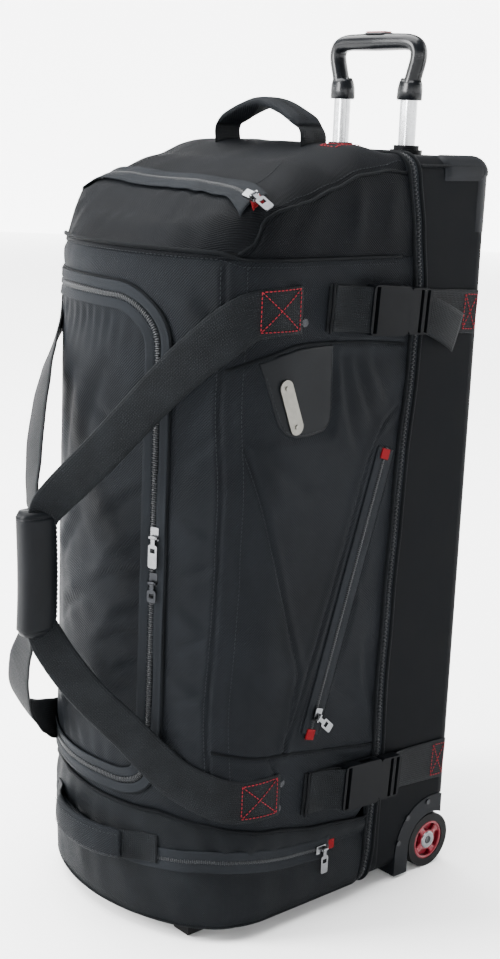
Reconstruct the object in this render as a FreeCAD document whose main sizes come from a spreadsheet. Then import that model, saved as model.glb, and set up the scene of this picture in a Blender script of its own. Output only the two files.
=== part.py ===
import FreeCAD, Part
import os
import re
import Sketcher
from math import cos, radians, sin

from FreeCAD import Placement, Rotation, Vector

# Rolling duffel bag, standing upright on its two wheels and its front skids.
# Frame: millimetres, +X to the bag's right side, -Y out of its front face, +Z up.
# The origin is on the floor, under the middle of the bag.

doc = FreeCAD.newDocument("RollingDuffel")
sheet = doc.addObject("Spreadsheet::Sheet", "Sizes")

SIZES = [
    ("half_width", 168, "bag centre plane to side panel"),
    ("rear_face", 270, "y of the rear shell's back"),
    ("zip_plane", 141, "y of the perimeter zipper"),
    ("front_apex", -155, "y of the front panel's most forward line"),
    ("corner_centre", -38, "y of the front corner arcs' centres"),
    ("corner_radius", 100, "radius of the front vertical corners"),
    ("shell_base", 14, "underside of the rear shell"),
    ("shell_top", 880, "top of the rear shell"),
    ("shell_wall", 3, "rear shell wall"),
    ("shell_round", 20, "rounding of the rear shell's long edges"),
    ("fabric_wall", 4, "padded fabric wall"),
    ("tub_base", 12.2, "underside of the lower compartment"),
    ("divider_level", 152, "floor between lower and main compartment"),
    ("cap_level", 772, "seam between main compartment and top cap"),
    ("seam_gap", 0.4, "gap between separate sewn pieces"),
    ("band_half_depth", 9, "half the perimeter zipper band's depth"),
    ("band_rise", 3.5, "how far the perimeter band stands proud"),
    ("coil_rise", 2.2, "how far a zipper coil stands proud"),
    ("coil_width", 9, "width of a zipper coil with its tapes' edges"),
    ("flap_left", -92, "x of the front flap's fold side"),
    ("flap_right", 82, "x of the front zipper's straight leg"),
    ("flap_bottom", 179, "bottom of the front flap"),
    ("flap_top", 724, "top of the front flap"),
    ("flap_corner", 48, "corner radius of the front flap"),
    ("lower_zip_level", 84, "height of the lower compartment's zipper"),
    ("wheel_radius", 35, "outer radius of a wheel"),
    ("wheel_axis_y", 240, "y of the wheel axle"),
    ("wheel_inner", 145, "x of the wheel's inner face"),
    ("wheel_width", 22, "width of a tyre"),
    ("hub_radius", 23, "outer radius of the red hub"),
    ("axle_radius", 4, "radius of the axle"),
    ("bearing_radius", 9.5, "outer radius of a wheel bearing"),
    ("bearing_width", 6, "width of a wheel bearing"),
    ("housing_radius", 62, "outer radius of a wheel housing"),
    ("well_radius", 39, "radius of the wheel well"),
    ("housing_inner", 118, "x of the wheel housing's inner face"),
    ("tube_offset", 56, "bag centre plane to a handle tube's axis"),
    ("tube_long", 22, "handle tube's long side"),
    ("tube_short", 16, "handle tube's short side"),
    ("tube_wall", 1.3, "handle tube's wall"),
    ("guide_gap", 0.6, "clearance between handle tube and guide tube"),
    ("guide_base", 60, "lower end of the guide tubes"),
    ("tube_base", 462, "lower end of the handle tubes as posed"),
    ("grip_base", 942, "lower end of the grip's sleeves"),
    ("grip_top", 1019, "top of the grip"),
    ("button_travel", 4, "travel of the release button"),
    ("webbing", 50, "width of the load webbing"),
    ("webbing_thick", 2, "thickness of the load webbing"),
    ("strap_upper", 716, "height of the upper compression strap at its anchor"),
    ("strap_lower", 157, "height of the lower compression strap at its anchor"),
    ("buckle_front", 65, "y of a buckle's front end"),
    ("buckle_width", 55, "width of a buckle across the strap"),
    ("socket_length", 60, "length of a buckle's socket half"),
    ("plug_length", 34, "length of a buckle's plug outside the socket"),
    ("strap_tilt", -3.6, "slope of the compression straps in degrees"),
    ("slider_width", 10, "width of a zipper slider"),
    ("slider_length", 15, "length of a zipper slider"),
    ("pull_length", 34, "length of a zipper pull"),
    ("pull_width", 11, "width of a zipper pull"),
]
for row, (alias, value, note) in enumerate(SIZES, start=1):
    sheet.set(f"A{row}", note)
    sheet.set(f"B{row}", str(value))
    sheet.setAlias(f"B{row}", alias)
doc.recompute()

NODES = []


def size(alias):
    return float(sheet.get(alias))


def formula(text):
    """An expression in which every plain word names a cell of the sheet."""
    return re.sub(r"[a-z][a-z_]+", lambda word: "Sizes." + word.group(0), text)


def bind(obj, **values):
    for prop, text in values.items():
        obj.setExpression(prop, formula(str(text)))
    return obj


def place(obj, x, y, z):
    for axis, text in zip("xyz", (x, y, z)):
        obj.setExpression(f"Placement.Base.{axis}", formula(str(text)))
    return obj


def box(label, x, y, z, length, width, height):
    """A block from its lowest corner and its sides, all as formulas."""
    obj = doc.addObject("Part::Box", label)
    bind(obj, Length=length, Width=width, Height=height)
    return place(obj, x, y, z)


def cylinder(label, x, y, z, radius, height, along="Z"):
    """A cylinder from its base centre; it grows towards + along its axis."""
    obj = doc.addObject("Part::Cylinder", label)
    turn = {"Z": Rotation(), "X": Rotation(Vector(0, 1, 0), 90), "Y": Rotation(Vector(1, 0, 0), -90)}
    obj.Placement = Placement(Vector(), turn[along])
    bind(obj, Radius=radius, Height=height)
    return place(obj, x, y, z)


def cut(label, base, *tools):
    obj = base
    for count, tool in enumerate(tools):
        step = doc.addObject("Part::Cut", f"{label}_cut{count}")
        step.Base = obj
        step.Tool = tool
        obj = step
    return obj


def fuse(label, *shapes):
    obj = doc.addObject("Part::MultiFuse", label)
    obj.Shapes = list(shapes)
    return obj


def mirror(label, source):
    """The same piece on the bag's other side."""
    obj = doc.addObject("Part::Mirroring", label)
    obj.Source = source
    obj.Normal = Vector(1, 0, 0)
    return obj


def group(label, *shapes):
    obj = doc.addObject("Part::Compound", label)
    obj.Links = list(shapes)
    return obj


def solid(label, shape):
    """A piece whose form no primitive gives, from a shape made with Part."""
    obj = doc.addObject("Part::Feature", label)
    obj.Shape = shape
    obj.Placement = shape.Placement
    return obj


def node(name, obj):
    """Name a finished sub-part and put it on the list of files to write."""
    obj.Label = name
    NODES.append(obj)
    return obj


# ---------------------------------------------------------------- sketches

def origin_plane(body, role):
    return next(item for item in body.Origin.OriginFeatures if item.Role == role)


def rectangle_sketch(body, name, role, left, bottom, right, top, lift=0):
    """A rectangle on one of the body's own origin planes, its corners bound to the sheet."""
    sketch = body.newObject("Sketcher::SketchObject", name)
    sketch.AttachmentSupport = [(origin_plane(body, role), "")]
    sketch.MapMode = "FlatFace"
    sketch.AttachmentOffset = Placement(Vector(0, 0, lift), Rotation())
    corners = [Vector(0, 0, 0), Vector(10, 0, 0), Vector(10, 10, 0), Vector(0, 10, 0)]
    for start, end in zip(corners, corners[1:] + corners[:1]):
        sketch.addGeometry(Part.LineSegment(start, end))
    for line in range(4):
        sketch.addConstraint(Sketcher.Constraint("Coincident", line, 2, (line + 1) % 4, 1))
        sketch.addConstraint(Sketcher.Constraint("Vertical" if line % 2 else "Horizontal", line))
    for kind, line, text in (("DistanceX", 0, left), ("DistanceY", 0, bottom),
                             ("DistanceX", 2, right), ("DistanceY", 2, top)):
        index = sketch.addConstraint(Sketcher.Constraint(kind, -1, 1, line, 1, 5))
        sketch.setExpression(f"Constraints[{index}]", formula(text))
    return sketch


def pad(body, name, sketch, length, reverse=False):
    feature = body.newObject("PartDesign::Pad", name)
    feature.Profile = sketch
    feature.Reversed = reverse
    bind(feature, Length=length)
    doc.recompute()
    return feature


def edges_where(shape, test):
    return [f"Edge{i}" for i, edge in enumerate(shape.Edges, start=1) if test(edge)]


# ---------------------------------------------------------------- front body outline

def outline(inset, back):
    """Plan of the front body: straight sides, round corners, gently bowed front."""
    half = size("half_width") - inset
    centre_x = size("half_width") - size("corner_radius")
    centre_y = size("corner_centre")
    rise = centre_y - size("front_apex")
    corner = size("corner_radius") - inset
    bow = (centre_x ** 2 + rise ** 2 - size("corner_radius") ** 2) / (2 * (rise - size("corner_radius")))
    bow_centre_y = size("front_apex") + bow
    toward = Vector(centre_x, centre_y - bow_centre_y, 0).normalize()
    join = Vector(centre_x, centre_y, 0) + toward * corner
    middle = Vector(1, -1.2, 0).normalize()
    corner_mid = Vector(centre_x, centre_y, 0) + middle * corner

    def other(point):
        return Vector(-point.x, point.y, 0)

    side = Vector(half, centre_y, 0)
    rear = Vector(half, back, 0)
    apex = Vector(0, size("front_apex") + inset, 0)
    edges = [
        Part.LineSegment(rear, side).toShape(),
        Part.Arc(side, corner_mid, join).toShape(),
        Part.Arc(join, apex, other(join)).toShape(),
        Part.Arc(other(join), other(corner_mid), other(side)).toShape(),
        Part.LineSegment(other(side), other(rear)).toShape(),
        Part.LineSegment(other(rear), rear).toShape(),
    ]
    return Part.Face(Part.Wire(edges))


def slab(inset, back, low, high):
    face = outline(inset, back)
    face.translate(Vector(0, 0, low))
    return face.extrude(Vector(0, 0, high - low))


def case_plate(grow, y, depth):
    """The whole case's front view as a plate with round corners, larger by grow all round."""
    half = size("half_width") + grow
    return rounded_plate(-half, size("tub_base") - grow, half, size("shell_top") + grow,
                         size("shell_round") + grow, y, depth)


def brick(low, high):
    return Part.makeBox(high[0] - low[0], high[1] - low[1], high[2] - low[2], Vector(*low))


def rounded_plate(left, bottom, right, top, radius, y, depth):
    """A plate in the XZ plane with round corners, from y towards +Y."""
    shape = Part.makeBox(right - left, depth, top - bottom, Vector(left, y, bottom))
    along = [edge for edge in shape.Edges if abs(edge.tangentAt(edge.FirstParameter).y) > 0.99]
    return shape.makeFillet(radius, along)


def ribbon(points, across, width, thick):
    """A webbing strap: flat runs between route points, joined into one solid."""
    shape = None
    for start, end in zip(points, points[1:]):
        run = (end - start)
        along = Vector(run).normalize()
        side = (across - along * across.dot(along)).normalize()
        normal = along.cross(side)
        reach = run.Length + thick
        corner = start - along * (thick / 2) - side * (width / 2) - normal * (thick / 2)
        frame = FreeCAD.Matrix(along.x, side.x, normal.x, corner.x,
                               along.y, side.y, normal.y, corner.y,
                               along.z, side.z, normal.z, corner.z, 0, 0, 0, 1)
        block = Part.makeBox(reach, width, thick)
        block.Placement = Placement(frame)
        shape = block if shape is None else shape.fuse(block)
    return shape.removeSplitter()


# ---------------------------------------------------------------- rear shell and its frame

def rounded_block(name, inset, front_gap):
    """A block open to the front body, rounded on every edge but its front ones."""
    body = doc.addObject("PartDesign::Body", name)
    place(body, 0, f"rear_face - {inset}", 0)
    frame = rectangle_sketch(body, f"{name}Frame", "XZ_Plane",
                             f"-half_width + {inset}", f"shell_base + {inset}",
                             f"half_width - {inset}", f"shell_top - {inset}")
    block = pad(body, f"{name}Block", frame, f"rear_face - {inset} - zip_plane - {front_gap}")

    def is_outside(edge):
        ends = [vertex.Point for vertex in edge.Vertexes]
        at_back = all(abs(point.y) < 0.01 for point in ends)
        runs_deep = abs(ends[0].y - ends[-1].y) > 1
        return at_back or runs_deep

    rounding = body.newObject("PartDesign::Fillet", f"{name}Rounding")
    rounding.Base = (block, edges_where(block.Shape, is_outside))
    bind(rounding, Radius=f"shell_round - {inset}")
    doc.recompute()
    return body


def oval_bar(label, grow, low, high, side):
    """An oval prism round a handle tube's axis; grow widens it all round."""
    radius = f"tube_short / 2 + {grow}"
    flat = "tube_long - tube_short"
    mid = f"{side} * tube_offset"
    parts = [cylinder(f"{label}_end{sign}", f"{mid} + {sign} * ({flat}) / 2", "wheel_axis_y", low,
                      radius, f"{high} - ({low})") for sign in (-1, 1)]
    parts.append(box(f"{label}_flat", f"{mid} - ({flat}) / 2", f"wheel_axis_y - ({radius})", low,
                     flat, f"2 * ({radius})", f"{high} - ({low})"))
    return fuse(label, *parts)


def oval_tube(label, inner_grow, wall, low, high, side):
    outer = oval_bar(f"{label}_outer", f"{inner_grow} + {wall}", low, high, side)
    inner = oval_bar(f"{label}_bore", inner_grow, f"{low} - 1", f"{high} + 1", side)
    return cut(label, outer, inner)


def both_sides(label, make):
    return group(label, make(f"{label}_right", 1), make(f"{label}_left", -1))


shell = rounded_block("ShellOutside", "0", "seam_gap")
shell_room = rounded_block("ShellRoom", "shell_wall", "-10")
room_starts = ("housing_inner - 2", "-half_width - 20")
housing_rooms = [cylinder(f"housing_room{count}", start, "wheel_axis_y", "wheel_radius",
                          "housing_radius + 0.5", "half_width - housing_inner + 22", "X")
                 for count, start in enumerate(room_starts)]
housing_rooms += [box(f"toe_room{count}", start, "wheel_axis_y - housing_radius - 0.5", "shell_base - 5",
                      "half_width - housing_inner + 22", "housing_radius", "wheel_radius - shell_base + 5")
                  for count, start in enumerate(room_starts)]
guide_holes = [oval_bar(f"guide_hole{side}", "guide_gap + tube_wall + 0.3",
                        "shell_top - 12", "shell_top + 5", side) for side in (1, -1)]
node("rear_shell", cut("rear_shell_cut", shell, shell_room, *housing_rooms, *guide_holes))

node("frame_panel", box("frame_panel_plate", "-half_width + 22", "wheel_axis_y - 21", "shell_base + 92",
                        "2 * half_width - 44", 2, "shell_top - shell_base - 118"))
node("handle_guides", both_sides("guides", lambda label, side: oval_tube(
    label, "guide_gap", "tube_wall", "guide_base", "shell_top", side)))


def make_guide_bracket():
    """The moulded foot that holds both guide tubes at the bottom of the frame."""
    plate = box("bracket_plate", "-tube_offset - 30", "wheel_axis_y - 16", "guide_base - 16",
                "2 * tube_offset + 60", 32, 34)
    pockets = [oval_bar(f"bracket_pocket{side}", "guide_gap + tube_wall + 0.1", "guide_base - 0.1",
                        "guide_base + 30", side) for side in (1, -1)]
    window = box("bracket_window", "-tube_offset + 22", "wheel_axis_y - 20", "guide_base - 6",
                 "2 * tube_offset - 44", 40, 14)
    return cut("guide_bracket_cut", plate, *pockets, window)


node("guide_bracket", make_guide_bracket())


def make_bezel(label, side):
    base = oval_bar(f"{label}_rim", 9, "shell_top + 0.1", "shell_top + 5", side)
    collar = oval_bar(f"{label}_collar", 5, "shell_top + 4", "shell_top + 10", side)
    bore = oval_bar(f"{label}_bore", "guide_gap", "shell_top - 1", "shell_top + 12", side)
    return cut(f"{label}_cut", fuse(f"{label}_body", base, collar), bore)


node("handle_bezels", both_sides("bezel", make_bezel))

# ---------------------------------------------------------------- telescoping handle

def make_tube(label, side):
    tube = oval_tube(f"{label}_oval", "-tube_wall", "tube_wall", "tube_base", "grip_base + 12", side)
    hole = cylinder(f"{label}_pin_hole", f"{side} * tube_offset - 12", "wheel_axis_y",
                    "tube_base + 14", 2.8, 24, "X")
    return cut(label, tube, hole)


node("handle_tubes", both_sides("tube", make_tube))


def rod_between(start, end, radius):
    return Part.makeCylinder(radius, (end - start).Length, start, end - start)


def make_grip():
    """One moulded loop: two sleeves, legs that lean outwards and a thick crossbar."""
    offset = size("tube_offset")
    y = size("wheel_axis_y")
    base = size("grip_base")
    bar = size("grip_top") - 12

    def at(x, z):
        return Vector(x, y, z)

    right_half = [at(offset - 4, bar), at(offset + 8, bar - 5),
                  at(offset + 12, bar - 17), at(offset, base + 16)]
    route = [Vector(-point.x, point.y, point.z) for point in reversed(right_half)] + right_half
    loop = Part.makeSphere(12, route[0])
    for start, end in zip(route, route[1:]):
        loop = loop.fuse(rod_between(start, end, 12)).fuse(Part.makeSphere(12, end))
    for side in (-1, 1):
        sleeve = Part.makeCylinder(14, 22, at(side * offset, base))
        core = Part.makeBox(size("tube_long") + 0.2, size("tube_short") + 0.2, 12.2,
                            at(side * offset - size("tube_long") / 2 - 0.1, base - 0.1)
                            - Vector(0, size("tube_short") / 2 + 0.1, 0))
        corners = [edge for edge in core.Edges if edge.Length > 12.1 and edge.Length < 12.3]
        core = core.makeFillet(size("tube_short") / 2 - 0.05, corners)
        rod = Part.makeCylinder(3.4, 32, at(side * offset, base))
        loop = loop.fuse(sleeve).cut(core).cut(rod)
    recess = Part.makeBox(31, 15, 20, at(-15.5, size("grip_top") - 9) - Vector(0, 7.5, 0))
    return loop.cut(recess)


node("handle_grip", solid("grip_shape", make_grip()))
button_block = box("button_block", -14.5, "wheel_axis_y - 6.8", "grip_top - 4", 29, 13.6, 6.5)
node("release_button", button_block)
rod_length = "grip_base + 18 - tube_base - 24"
node("release_rods", both_sides("rod", lambda label, side: cylinder(
    label, f"{side} * tube_offset", "wheel_axis_y", "tube_base + 24", 2.6, rod_length)))
for side, word in ((1, "right"), (-1, "left")):
    start = "tube_offset + 1" if side > 0 else "-tube_offset - 11.2"
    pin = cylinder(f"pin_{word}", start, "wheel_axis_y", "tube_base + 14", 2.4, 10.2, "X")
    node(f"lock_pin_{word}", pin)

# ---------------------------------------------------------------- front body

def make_main_compartment():
    inner = slab(size("fabric_wall"), size("rear_face"), 0, 1000)
    wall = slab(0, size("zip_plane") - size("seam_gap"),
                size("divider_level") + size("seam_gap"), size("cap_level") - size("seam_gap"))
    return wall.cut(inner)


def flap_plate(grow):
    """The front flap's outline as a thick plate, larger by grow all round."""
    plate = rounded_plate(size("flap_left") - grow, size("flap_bottom") - grow, size("flap_right") + grow,
                          size("flap_top") + grow, size("flap_corner") + grow, size("front_apex") - 20, 60)
    return plate


walls = make_main_compartment()
node("main_compartment", solid("main_walls", walls.cut(flap_plate(0.5))))
node("front_flap", solid("flap_panel", walls.common(flap_plate(-0.5))))


def front_skin(rise, low, high):
    """A thin layer lying on the front body's outside."""
    outer = slab(-rise - 0.1, size("zip_plane") - 15, low, high)
    return outer.cut(slab(-0.1, size("rear_face"), low - 1, high + 1))


def make_front_zipper():
    half = size("coil_width") / 2
    frame = flap_plate(half).cut(flap_plate(-half))
    return front_skin(size("coil_rise"), 160, 760).common(frame)


node("front_zipper", solid("front_coil", make_front_zipper()))

tub_walls = slab(0, size("zip_plane") - size("seam_gap"), size("tub_base"), size("divider_level") - 0.2)
tub_floor = size("tub_base") + size("fabric_wall")
tub_room = slab(size("fabric_wall"), size("rear_face"), tub_floor, 400)
tub_room = tub_room.common(case_plate(0.3 - size("fabric_wall"), -200, 500))
tub_shape = tub_walls.common(case_plate(0.12, -200, 400)).cut(tub_room)
node("lower_compartment", solid("tub_shape", tub_shape))
node("divider", solid("divider_plate", slab(size("fabric_wall") + 0.3, size("zip_plane") - 4,
                                            size("divider_level") - 4, size("divider_level"))))
lower_coil = front_skin(size("coil_rise"), size("lower_zip_level") - size("coil_width") / 2,
                        size("lower_zip_level") + size("coil_width") / 2).common(
    brick((-size("half_width") - 9, -200, 0), (size("half_width") + 9, 52, 200)))


def cap_section(x, drop):
    """Side outline of the top cap at x: sloped pocket front, then a low dome."""
    rear = size("zip_plane") - size("seam_gap")
    top = size("shell_top") - 0.4
    crown = [(size("front_apex") - 5, 779), (-150, 782), (-65, 842), (0, 870), (66, 888), (105, 886)]
    points = [(size("front_apex") - 5, size("cap_level"))]
    points += [(y, max(z - drop, size("cap_level") + 4)) for y, z in crown]
    points += [(128, top - drop), (rear, top - drop), (rear, size("cap_level"))]
    corners = [Vector(x, y, z) for y, z in points]
    return Part.makePolygon(corners + corners[:1])


def cap_block(drop, shoulder):
    """The dome between the side panels; it falls away over the last shoulder millimetres."""
    half = size("half_width") + 1
    flat = size("half_width") - shoulder
    stations = [(-half, 22), (-flat, 0), (flat, 0), (half, 22)]
    wires = [cap_section(x, drop + fall) for x, fall in stations]
    return Part.makeLoft(wires, True, True)


def make_top_cap():
    outer = slab(0, size("zip_plane") - size("seam_gap"), size("cap_level"), 900).common(cap_block(0, 26))
    wall = size("fabric_wall")
    room = slab(wall, size("zip_plane") - 10, size("cap_level") - 1, 900).common(cap_block(wall, 28))
    return outer.cut(room)


node("top_cap", solid("cap_shape", make_top_cap()))
node("cap_liner", solid("cap_liner_plate", slab(size("fabric_wall") + 0.4, size("zip_plane") - 10,
                                                size("cap_level") - 3, size("cap_level") - 0.5)))


def make_band():
    """The perimeter zipper with its two pipings, a ring round the whole case."""
    rise = size("band_rise")
    depth = 2 * size("band_half_depth")
    front = size("zip_plane") - size("band_half_depth")
    return case_plate(rise, front, depth).cut(case_plate(0.2, front - 1, depth + 2))


node("perimeter_zipper", solid("band_ring", make_band()))


# side pocket on the right panel, with its straight zipper
def make_pocket_pad():
    corners = [(-42, 224), (-20, 206), (116, 196), (116, 520), (84, 556), (-30, 556), (-42, 400)]
    x = size("half_width") + 0.5
    points = [Vector(x, y, z) for y, z in corners]
    return Part.Face(Part.makePolygon(points + points[:1])).extrude(Vector(3, 0, 0))


POCKET_LOW = Vector(0, 18, 243)
POCKET_HIGH = Vector(0, 109, 540)
pocket_run = (POCKET_HIGH - POCKET_LOW).normalize()
node("side_pocket", solid("pocket_pad", make_pocket_pad()))


def lay_on_track(shape, along):
    """Move a shape drawn upright at the origin to a point along the pocket's zipper."""
    turn = Rotation(Vector(0, 0, 1), pocket_run)
    start = Vector(size("half_width") + 3.7, POCKET_LOW.y, POCKET_LOW.z) + pocket_run * along
    shape.Placement = Placement(start, turn)
    return shape


coil_half = size("coil_width") / 2
track_length = (POCKET_HIGH - POCKET_LOW).Length
side_coil = lay_on_track(brick((0, -coil_half, -2), (size("coil_rise"), coil_half, track_length)), 0)

# ---------------------------------------------------------------- wheels

def ring(label, x, outer, inner, width):
    """A ring round the wheel's axis, from x towards +X."""
    rim = cylinder(f"{label}_rim", x, "wheel_axis_y", "wheel_radius", outer, width, "X")
    hole = cylinder(f"{label}_hole", f"{x} - 1", "wheel_axis_y", "wheel_radius", inner, f"{width} + 2", "X")
    return cut(f"{label}_ring", rim, hole)


def make_housing():
    """A moulded fender: a disc with the wheel well cut out of it, open below and behind."""
    x = size("housing_inner")
    y = size("wheel_axis_y")
    z = size("wheel_radius")
    outside = size("half_width") + 1 - x
    disc = Part.makeCylinder(size("housing_radius"), outside, Vector(x, y, z), Vector(1, 0, 0))
    toe = brick((x, y - size("housing_radius"), 4), (x + outside, y, z))
    well_start = Vector(size("wheel_inner") - 3, y, z)
    well = Part.makeCylinder(size("well_radius"), 60, well_start, Vector(1, 0, 0))
    well_mouth = brick((size("wheel_inner") - 3, y - size("well_radius"), -40), (x + 80, y + 60, z))
    hollow = Part.makeCylinder(size("housing_radius") - 4, size("wheel_inner") - 8 - x,
                               Vector(x - 1, y, z), Vector(1, 0, 0))
    boss = Part.makeCylinder(12, size("wheel_inner") - 4 - x, Vector(x, y, z), Vector(1, 0, 0))
    bore = Part.makeCylinder(size("axle_radius"), 60, Vector(x - 10, y, z), Vector(1, 0, 0))
    body = disc.fuse(toe).cut(hollow).fuse(boss).cut(well).cut(well_mouth).cut(bore)
    keep = brick((x - 1, y - 80, 4), (x + 80, y + 18, 110))
    return body.common(keep)


housing_right = solid("housing_right", make_housing())
node("wheel_housings", group("housing_pair", housing_right, mirror("housing_left", housing_right)))
axle_pin = cylinder("axle_pin", "housing_inner + 2", "wheel_axis_y", "wheel_radius",
                    "axle_radius - 0.05", "wheel_inner + wheel_width - housing_inner - 4", "X")
axle_head = cylinder("axle_head", "wheel_inner + wheel_width - 2.6",
                     "wheel_axis_y", "wheel_radius", 7, 2.4, "X")
axle_right = fuse("axle_right", axle_pin, axle_head)
node("axles", group("axle_pair", axle_right, mirror("axle_left", axle_right)))

tyre_right = ring("tyre", "wheel_inner", "wheel_radius", "hub_radius + 2", "wheel_width")
core = ring("hub_core", "wheel_inner + 1", "hub_radius + 1.9", "bearing_radius + 3", "wheel_width - 2")
seats = ring("hub_seat", "wheel_inner + 1", "bearing_radius + 3", "bearing_radius", "wheel_width - 2")
web_room = ring("hub_groove", "wheel_inner + wheel_width - 7", "hub_radius - 1", "bearing_radius + 3", 8)
hub_right = cut("hub_right", fuse("hub_body", core, seats), web_room)
bearings_right = group("bearing_pair", *[
    ring(f"bearing{count}", start, "bearing_radius", "axle_radius + 0.05", "bearing_width")
    for count, start in enumerate(("wheel_inner + 1.5", "wheel_inner + wheel_width - 10"))])
for name, right in (("tyre", tyre_right), ("hub", hub_right), ("bearings", bearings_right)):
    node(f"{name}_right", right)
    node(f"{name}_left", mirror(f"{name}_left_copy", right))

# ---------------------------------------------------------------- corner guards, base and feet

def make_corner_guards():
    """Ribbed guards wrapped round the two top rear corners of the shell."""
    gap, thick = 0.2, 2
    rear = size("rear_face")

    def rounded(grow):
        block = Part.makeBox(2 * (size("half_width") + grow), 170, 890 + 2 * grow,
                             Vector(-size("half_width") - grow, rear - 170 + grow,
                                    size("shell_top") - 890 - grow))
        edges = [edge for edge in block.Edges
                 if edge.BoundBox.YMin > rear + grow - 0.1 or edge.BoundBox.YLength > 100]
        return block.makeFillet(size("shell_round") + grow, edges)

    skin = rounded(gap + thick).cut(rounded(gap))
    top = size("shell_top")
    guards = []
    for side in (-1, 1):
        low, high = sorted((side * (size("half_width") - 34), side * (size("half_width") + 10)))
        zone = brick((low, rear - 81, top - 83), (high, rear + 10, top + 10))
        front_high = Vector(low - 1, rear - 82, top - 20)
        rear_low = Vector(low - 1, rear - 24, top - 84)
        front_low = Vector(low - 1, rear - 82, top - 84)
        wedge = Part.Face(Part.makePolygon([front_high, rear_low, front_low, front_high]))
        piece = skin.common(zone).cut(wedge.extrude(Vector(high - low + 2, 0, 0)))
        guards.append(max(piece.Solids, key=lambda item: item.Volume))
    return Part.makeCompound(guards)


node("corner_guards", solid("corner_guard_pair", make_corner_guards()))
node("base_board", box("base_board_plate", "-half_width + 40", "front_apex + 70", "tub_base + 4.4",
                       "2 * half_width - 80", "zip_plane - front_apex - 74", 3))


def make_feet():
    feet = []
    for side in (-1, 1):
        bar = Part.makeBox(26, 190, size("tub_base") - 0.2, Vector(side * 108 - 13, -112, 0))
        lower = [edge for edge in bar.Edges if edge.BoundBox.ZMax < 0.1]
        feet.append(bar.makeFillet(4, lower))
    return Part.makeCompound(feet)


node("skid_feet", solid("skid_pair", make_feet()))
screw_places = [(182, 48), (196, 78), (232, 90)]


def studs(label, places, proud, radius, height):
    """Round studs on both side panels, their heads standing proud of the fabric."""
    made = []
    for side in (1, -1):
        start = f"{side} * (half_width + {proud}) - {max(-side, 0)} * {height}"
        for count, (y, z) in enumerate(places):
            made.append(cylinder(f"{label}{side}_{count}", start, y, z, radius, height, "X"))
    return group(f"{label}_set", *made)


node("housing_screws", studs("screw", screw_places, 1.2, 3.4, 1.4))

# ---------------------------------------------------------------- compression straps and buckles

LEVELS = (("upper", "strap_upper"), ("lower", "strap_lower"))


def strap_frame(level):
    """Where a strap's own axes lie: u towards the rear along it, v up across it, w outwards."""
    tilt = Rotation(Vector(1, 0, 0), size("strap_tilt"))
    return Placement(Vector(size("half_width"), size("buckle_front"), size(level)), tilt)


def strap_block(level, low, high):
    """A block given by its low and high (u, v, w) corners."""
    shape = brick((low[2], low[0], low[1]), (high[2], high[0], high[1]))
    shape.Placement = strap_frame(level)
    return shape


def reflect(shape):
    return shape.mirror(Vector(), Vector(1, 0, 0))


def each_side(shapes):
    """The given right-hand shapes and their mirror images, as one compound."""
    return Part.makeCompound([item for shape in shapes for item in (shape, reflect(shape))])


def make_socket(level):
    length = size("socket_length")
    half = size("buckle_width") / 2
    body = strap_block(level, (0, -half, 4.5), (length, half, 17.5))
    edges = [edge for edge in body.Edges if abs(edge.Length - 13) < 0.1]
    body = body.makeFillet(6, edges)
    cavity = strap_block(level, (14, -23, 7.5), (length + 1, 23, 14.5))
    slot = strap_block(level, (3.5, -25.5, 0), (9.5, 25.5, 20))
    windows = [strap_block(level, (27, side * 25 - 4, 8), (47, side * 25 + 4, 14)) for side in (-1, 1)]
    for tool in [cavity, slot] + windows:
        body = body.cut(tool)
    return body


def make_plug(level):
    start = size("socket_length") + 0.6
    end = start + size("plug_length")
    head = strap_block(level, (start, -26, 5), (end, 26, 17))
    head = head.makeFillet(5, [edge for edge in head.Edges if abs(edge.Length - 12) < 0.1])
    slots = [strap_block(level, (end - back - 5, -24, 0), (end - back, 24, 20)) for back in (4, 14)]
    tongue = strap_block(level, (20, -5, 9), (start + 1, 5, 13))
    arms = [strap_block(level, (24, low, 9), (start + 1, low + 6, 13)) for low in (-17, 11)]
    catches = [strap_block(level, (29, low, 9), (45, low + 6.4, 13)) for low in (-22.4, 16)]
    for part in [tongue] + arms + catches:
        head = head.fuse(part)
    for slot in slots:
        head = head.cut(slot)
    return head


def make_tail(level):
    """The loose end of the webbing that hangs behind the plug."""
    start = size("socket_length") + size("plug_length") + 1.2
    corners = [(start, 22), (start + 62, -16), (start + 44, -58), (start, -22)]
    points = [Vector(8, u, v) for u, v in corners]
    shape = Part.Face(Part.makePolygon(points + points[:1])).extrude(Vector(size("webbing_thick"), 0, 0))
    shape.Placement = strap_frame(level)
    return shape


half_web = size("webbing") / 2
web_low, web_high = 0.8, 0.8 + size("webbing_thick")
node("front_straps", solid("front_strap_set", each_side([
    strap_block(level, (-52, -half_web, web_low), (3, half_web, web_high)) for _, level in LEVELS])))
node("rear_straps", solid("rear_strap_set", each_side([
    strap_block(level, (92, -half_web, web_low), (187, half_web, web_high)) for _, level in LEVELS])))
node("buckle_sockets", solid("socket_set", each_side([make_socket(level) for _, level in LEVELS])))
pieces = [(f"buckle_plug_{word}", make_plug(level)) for word, level in LEVELS]
pieces.append(("strap_tail", make_tail("strap_upper")))
for name, shape in pieces:
    right = solid(f"{name}_shape", shape)
    node(f"{name}_right", right)
    node(f"{name}_left", mirror(f"{name}_copy", right))

rivet_places = [(-29, 734), (-20, 705), (-22, 183), (-26, 153)]
node("snap_rivets", studs("rivet", rivet_places, 0.2, 4.5, 1.6))
# ---------------------------------------------------------------- haul straps and grab handles

HAUL_REACH = size("corner_radius") + 2.9
HAUL_TURNS = (90, 75, 60, 46)
HAUL_UPPER = [(90, -176, 622), (36, -218, 535)]
HAUL_LOWER = [(90, -168, 236), (36, -218, 316)]


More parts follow.
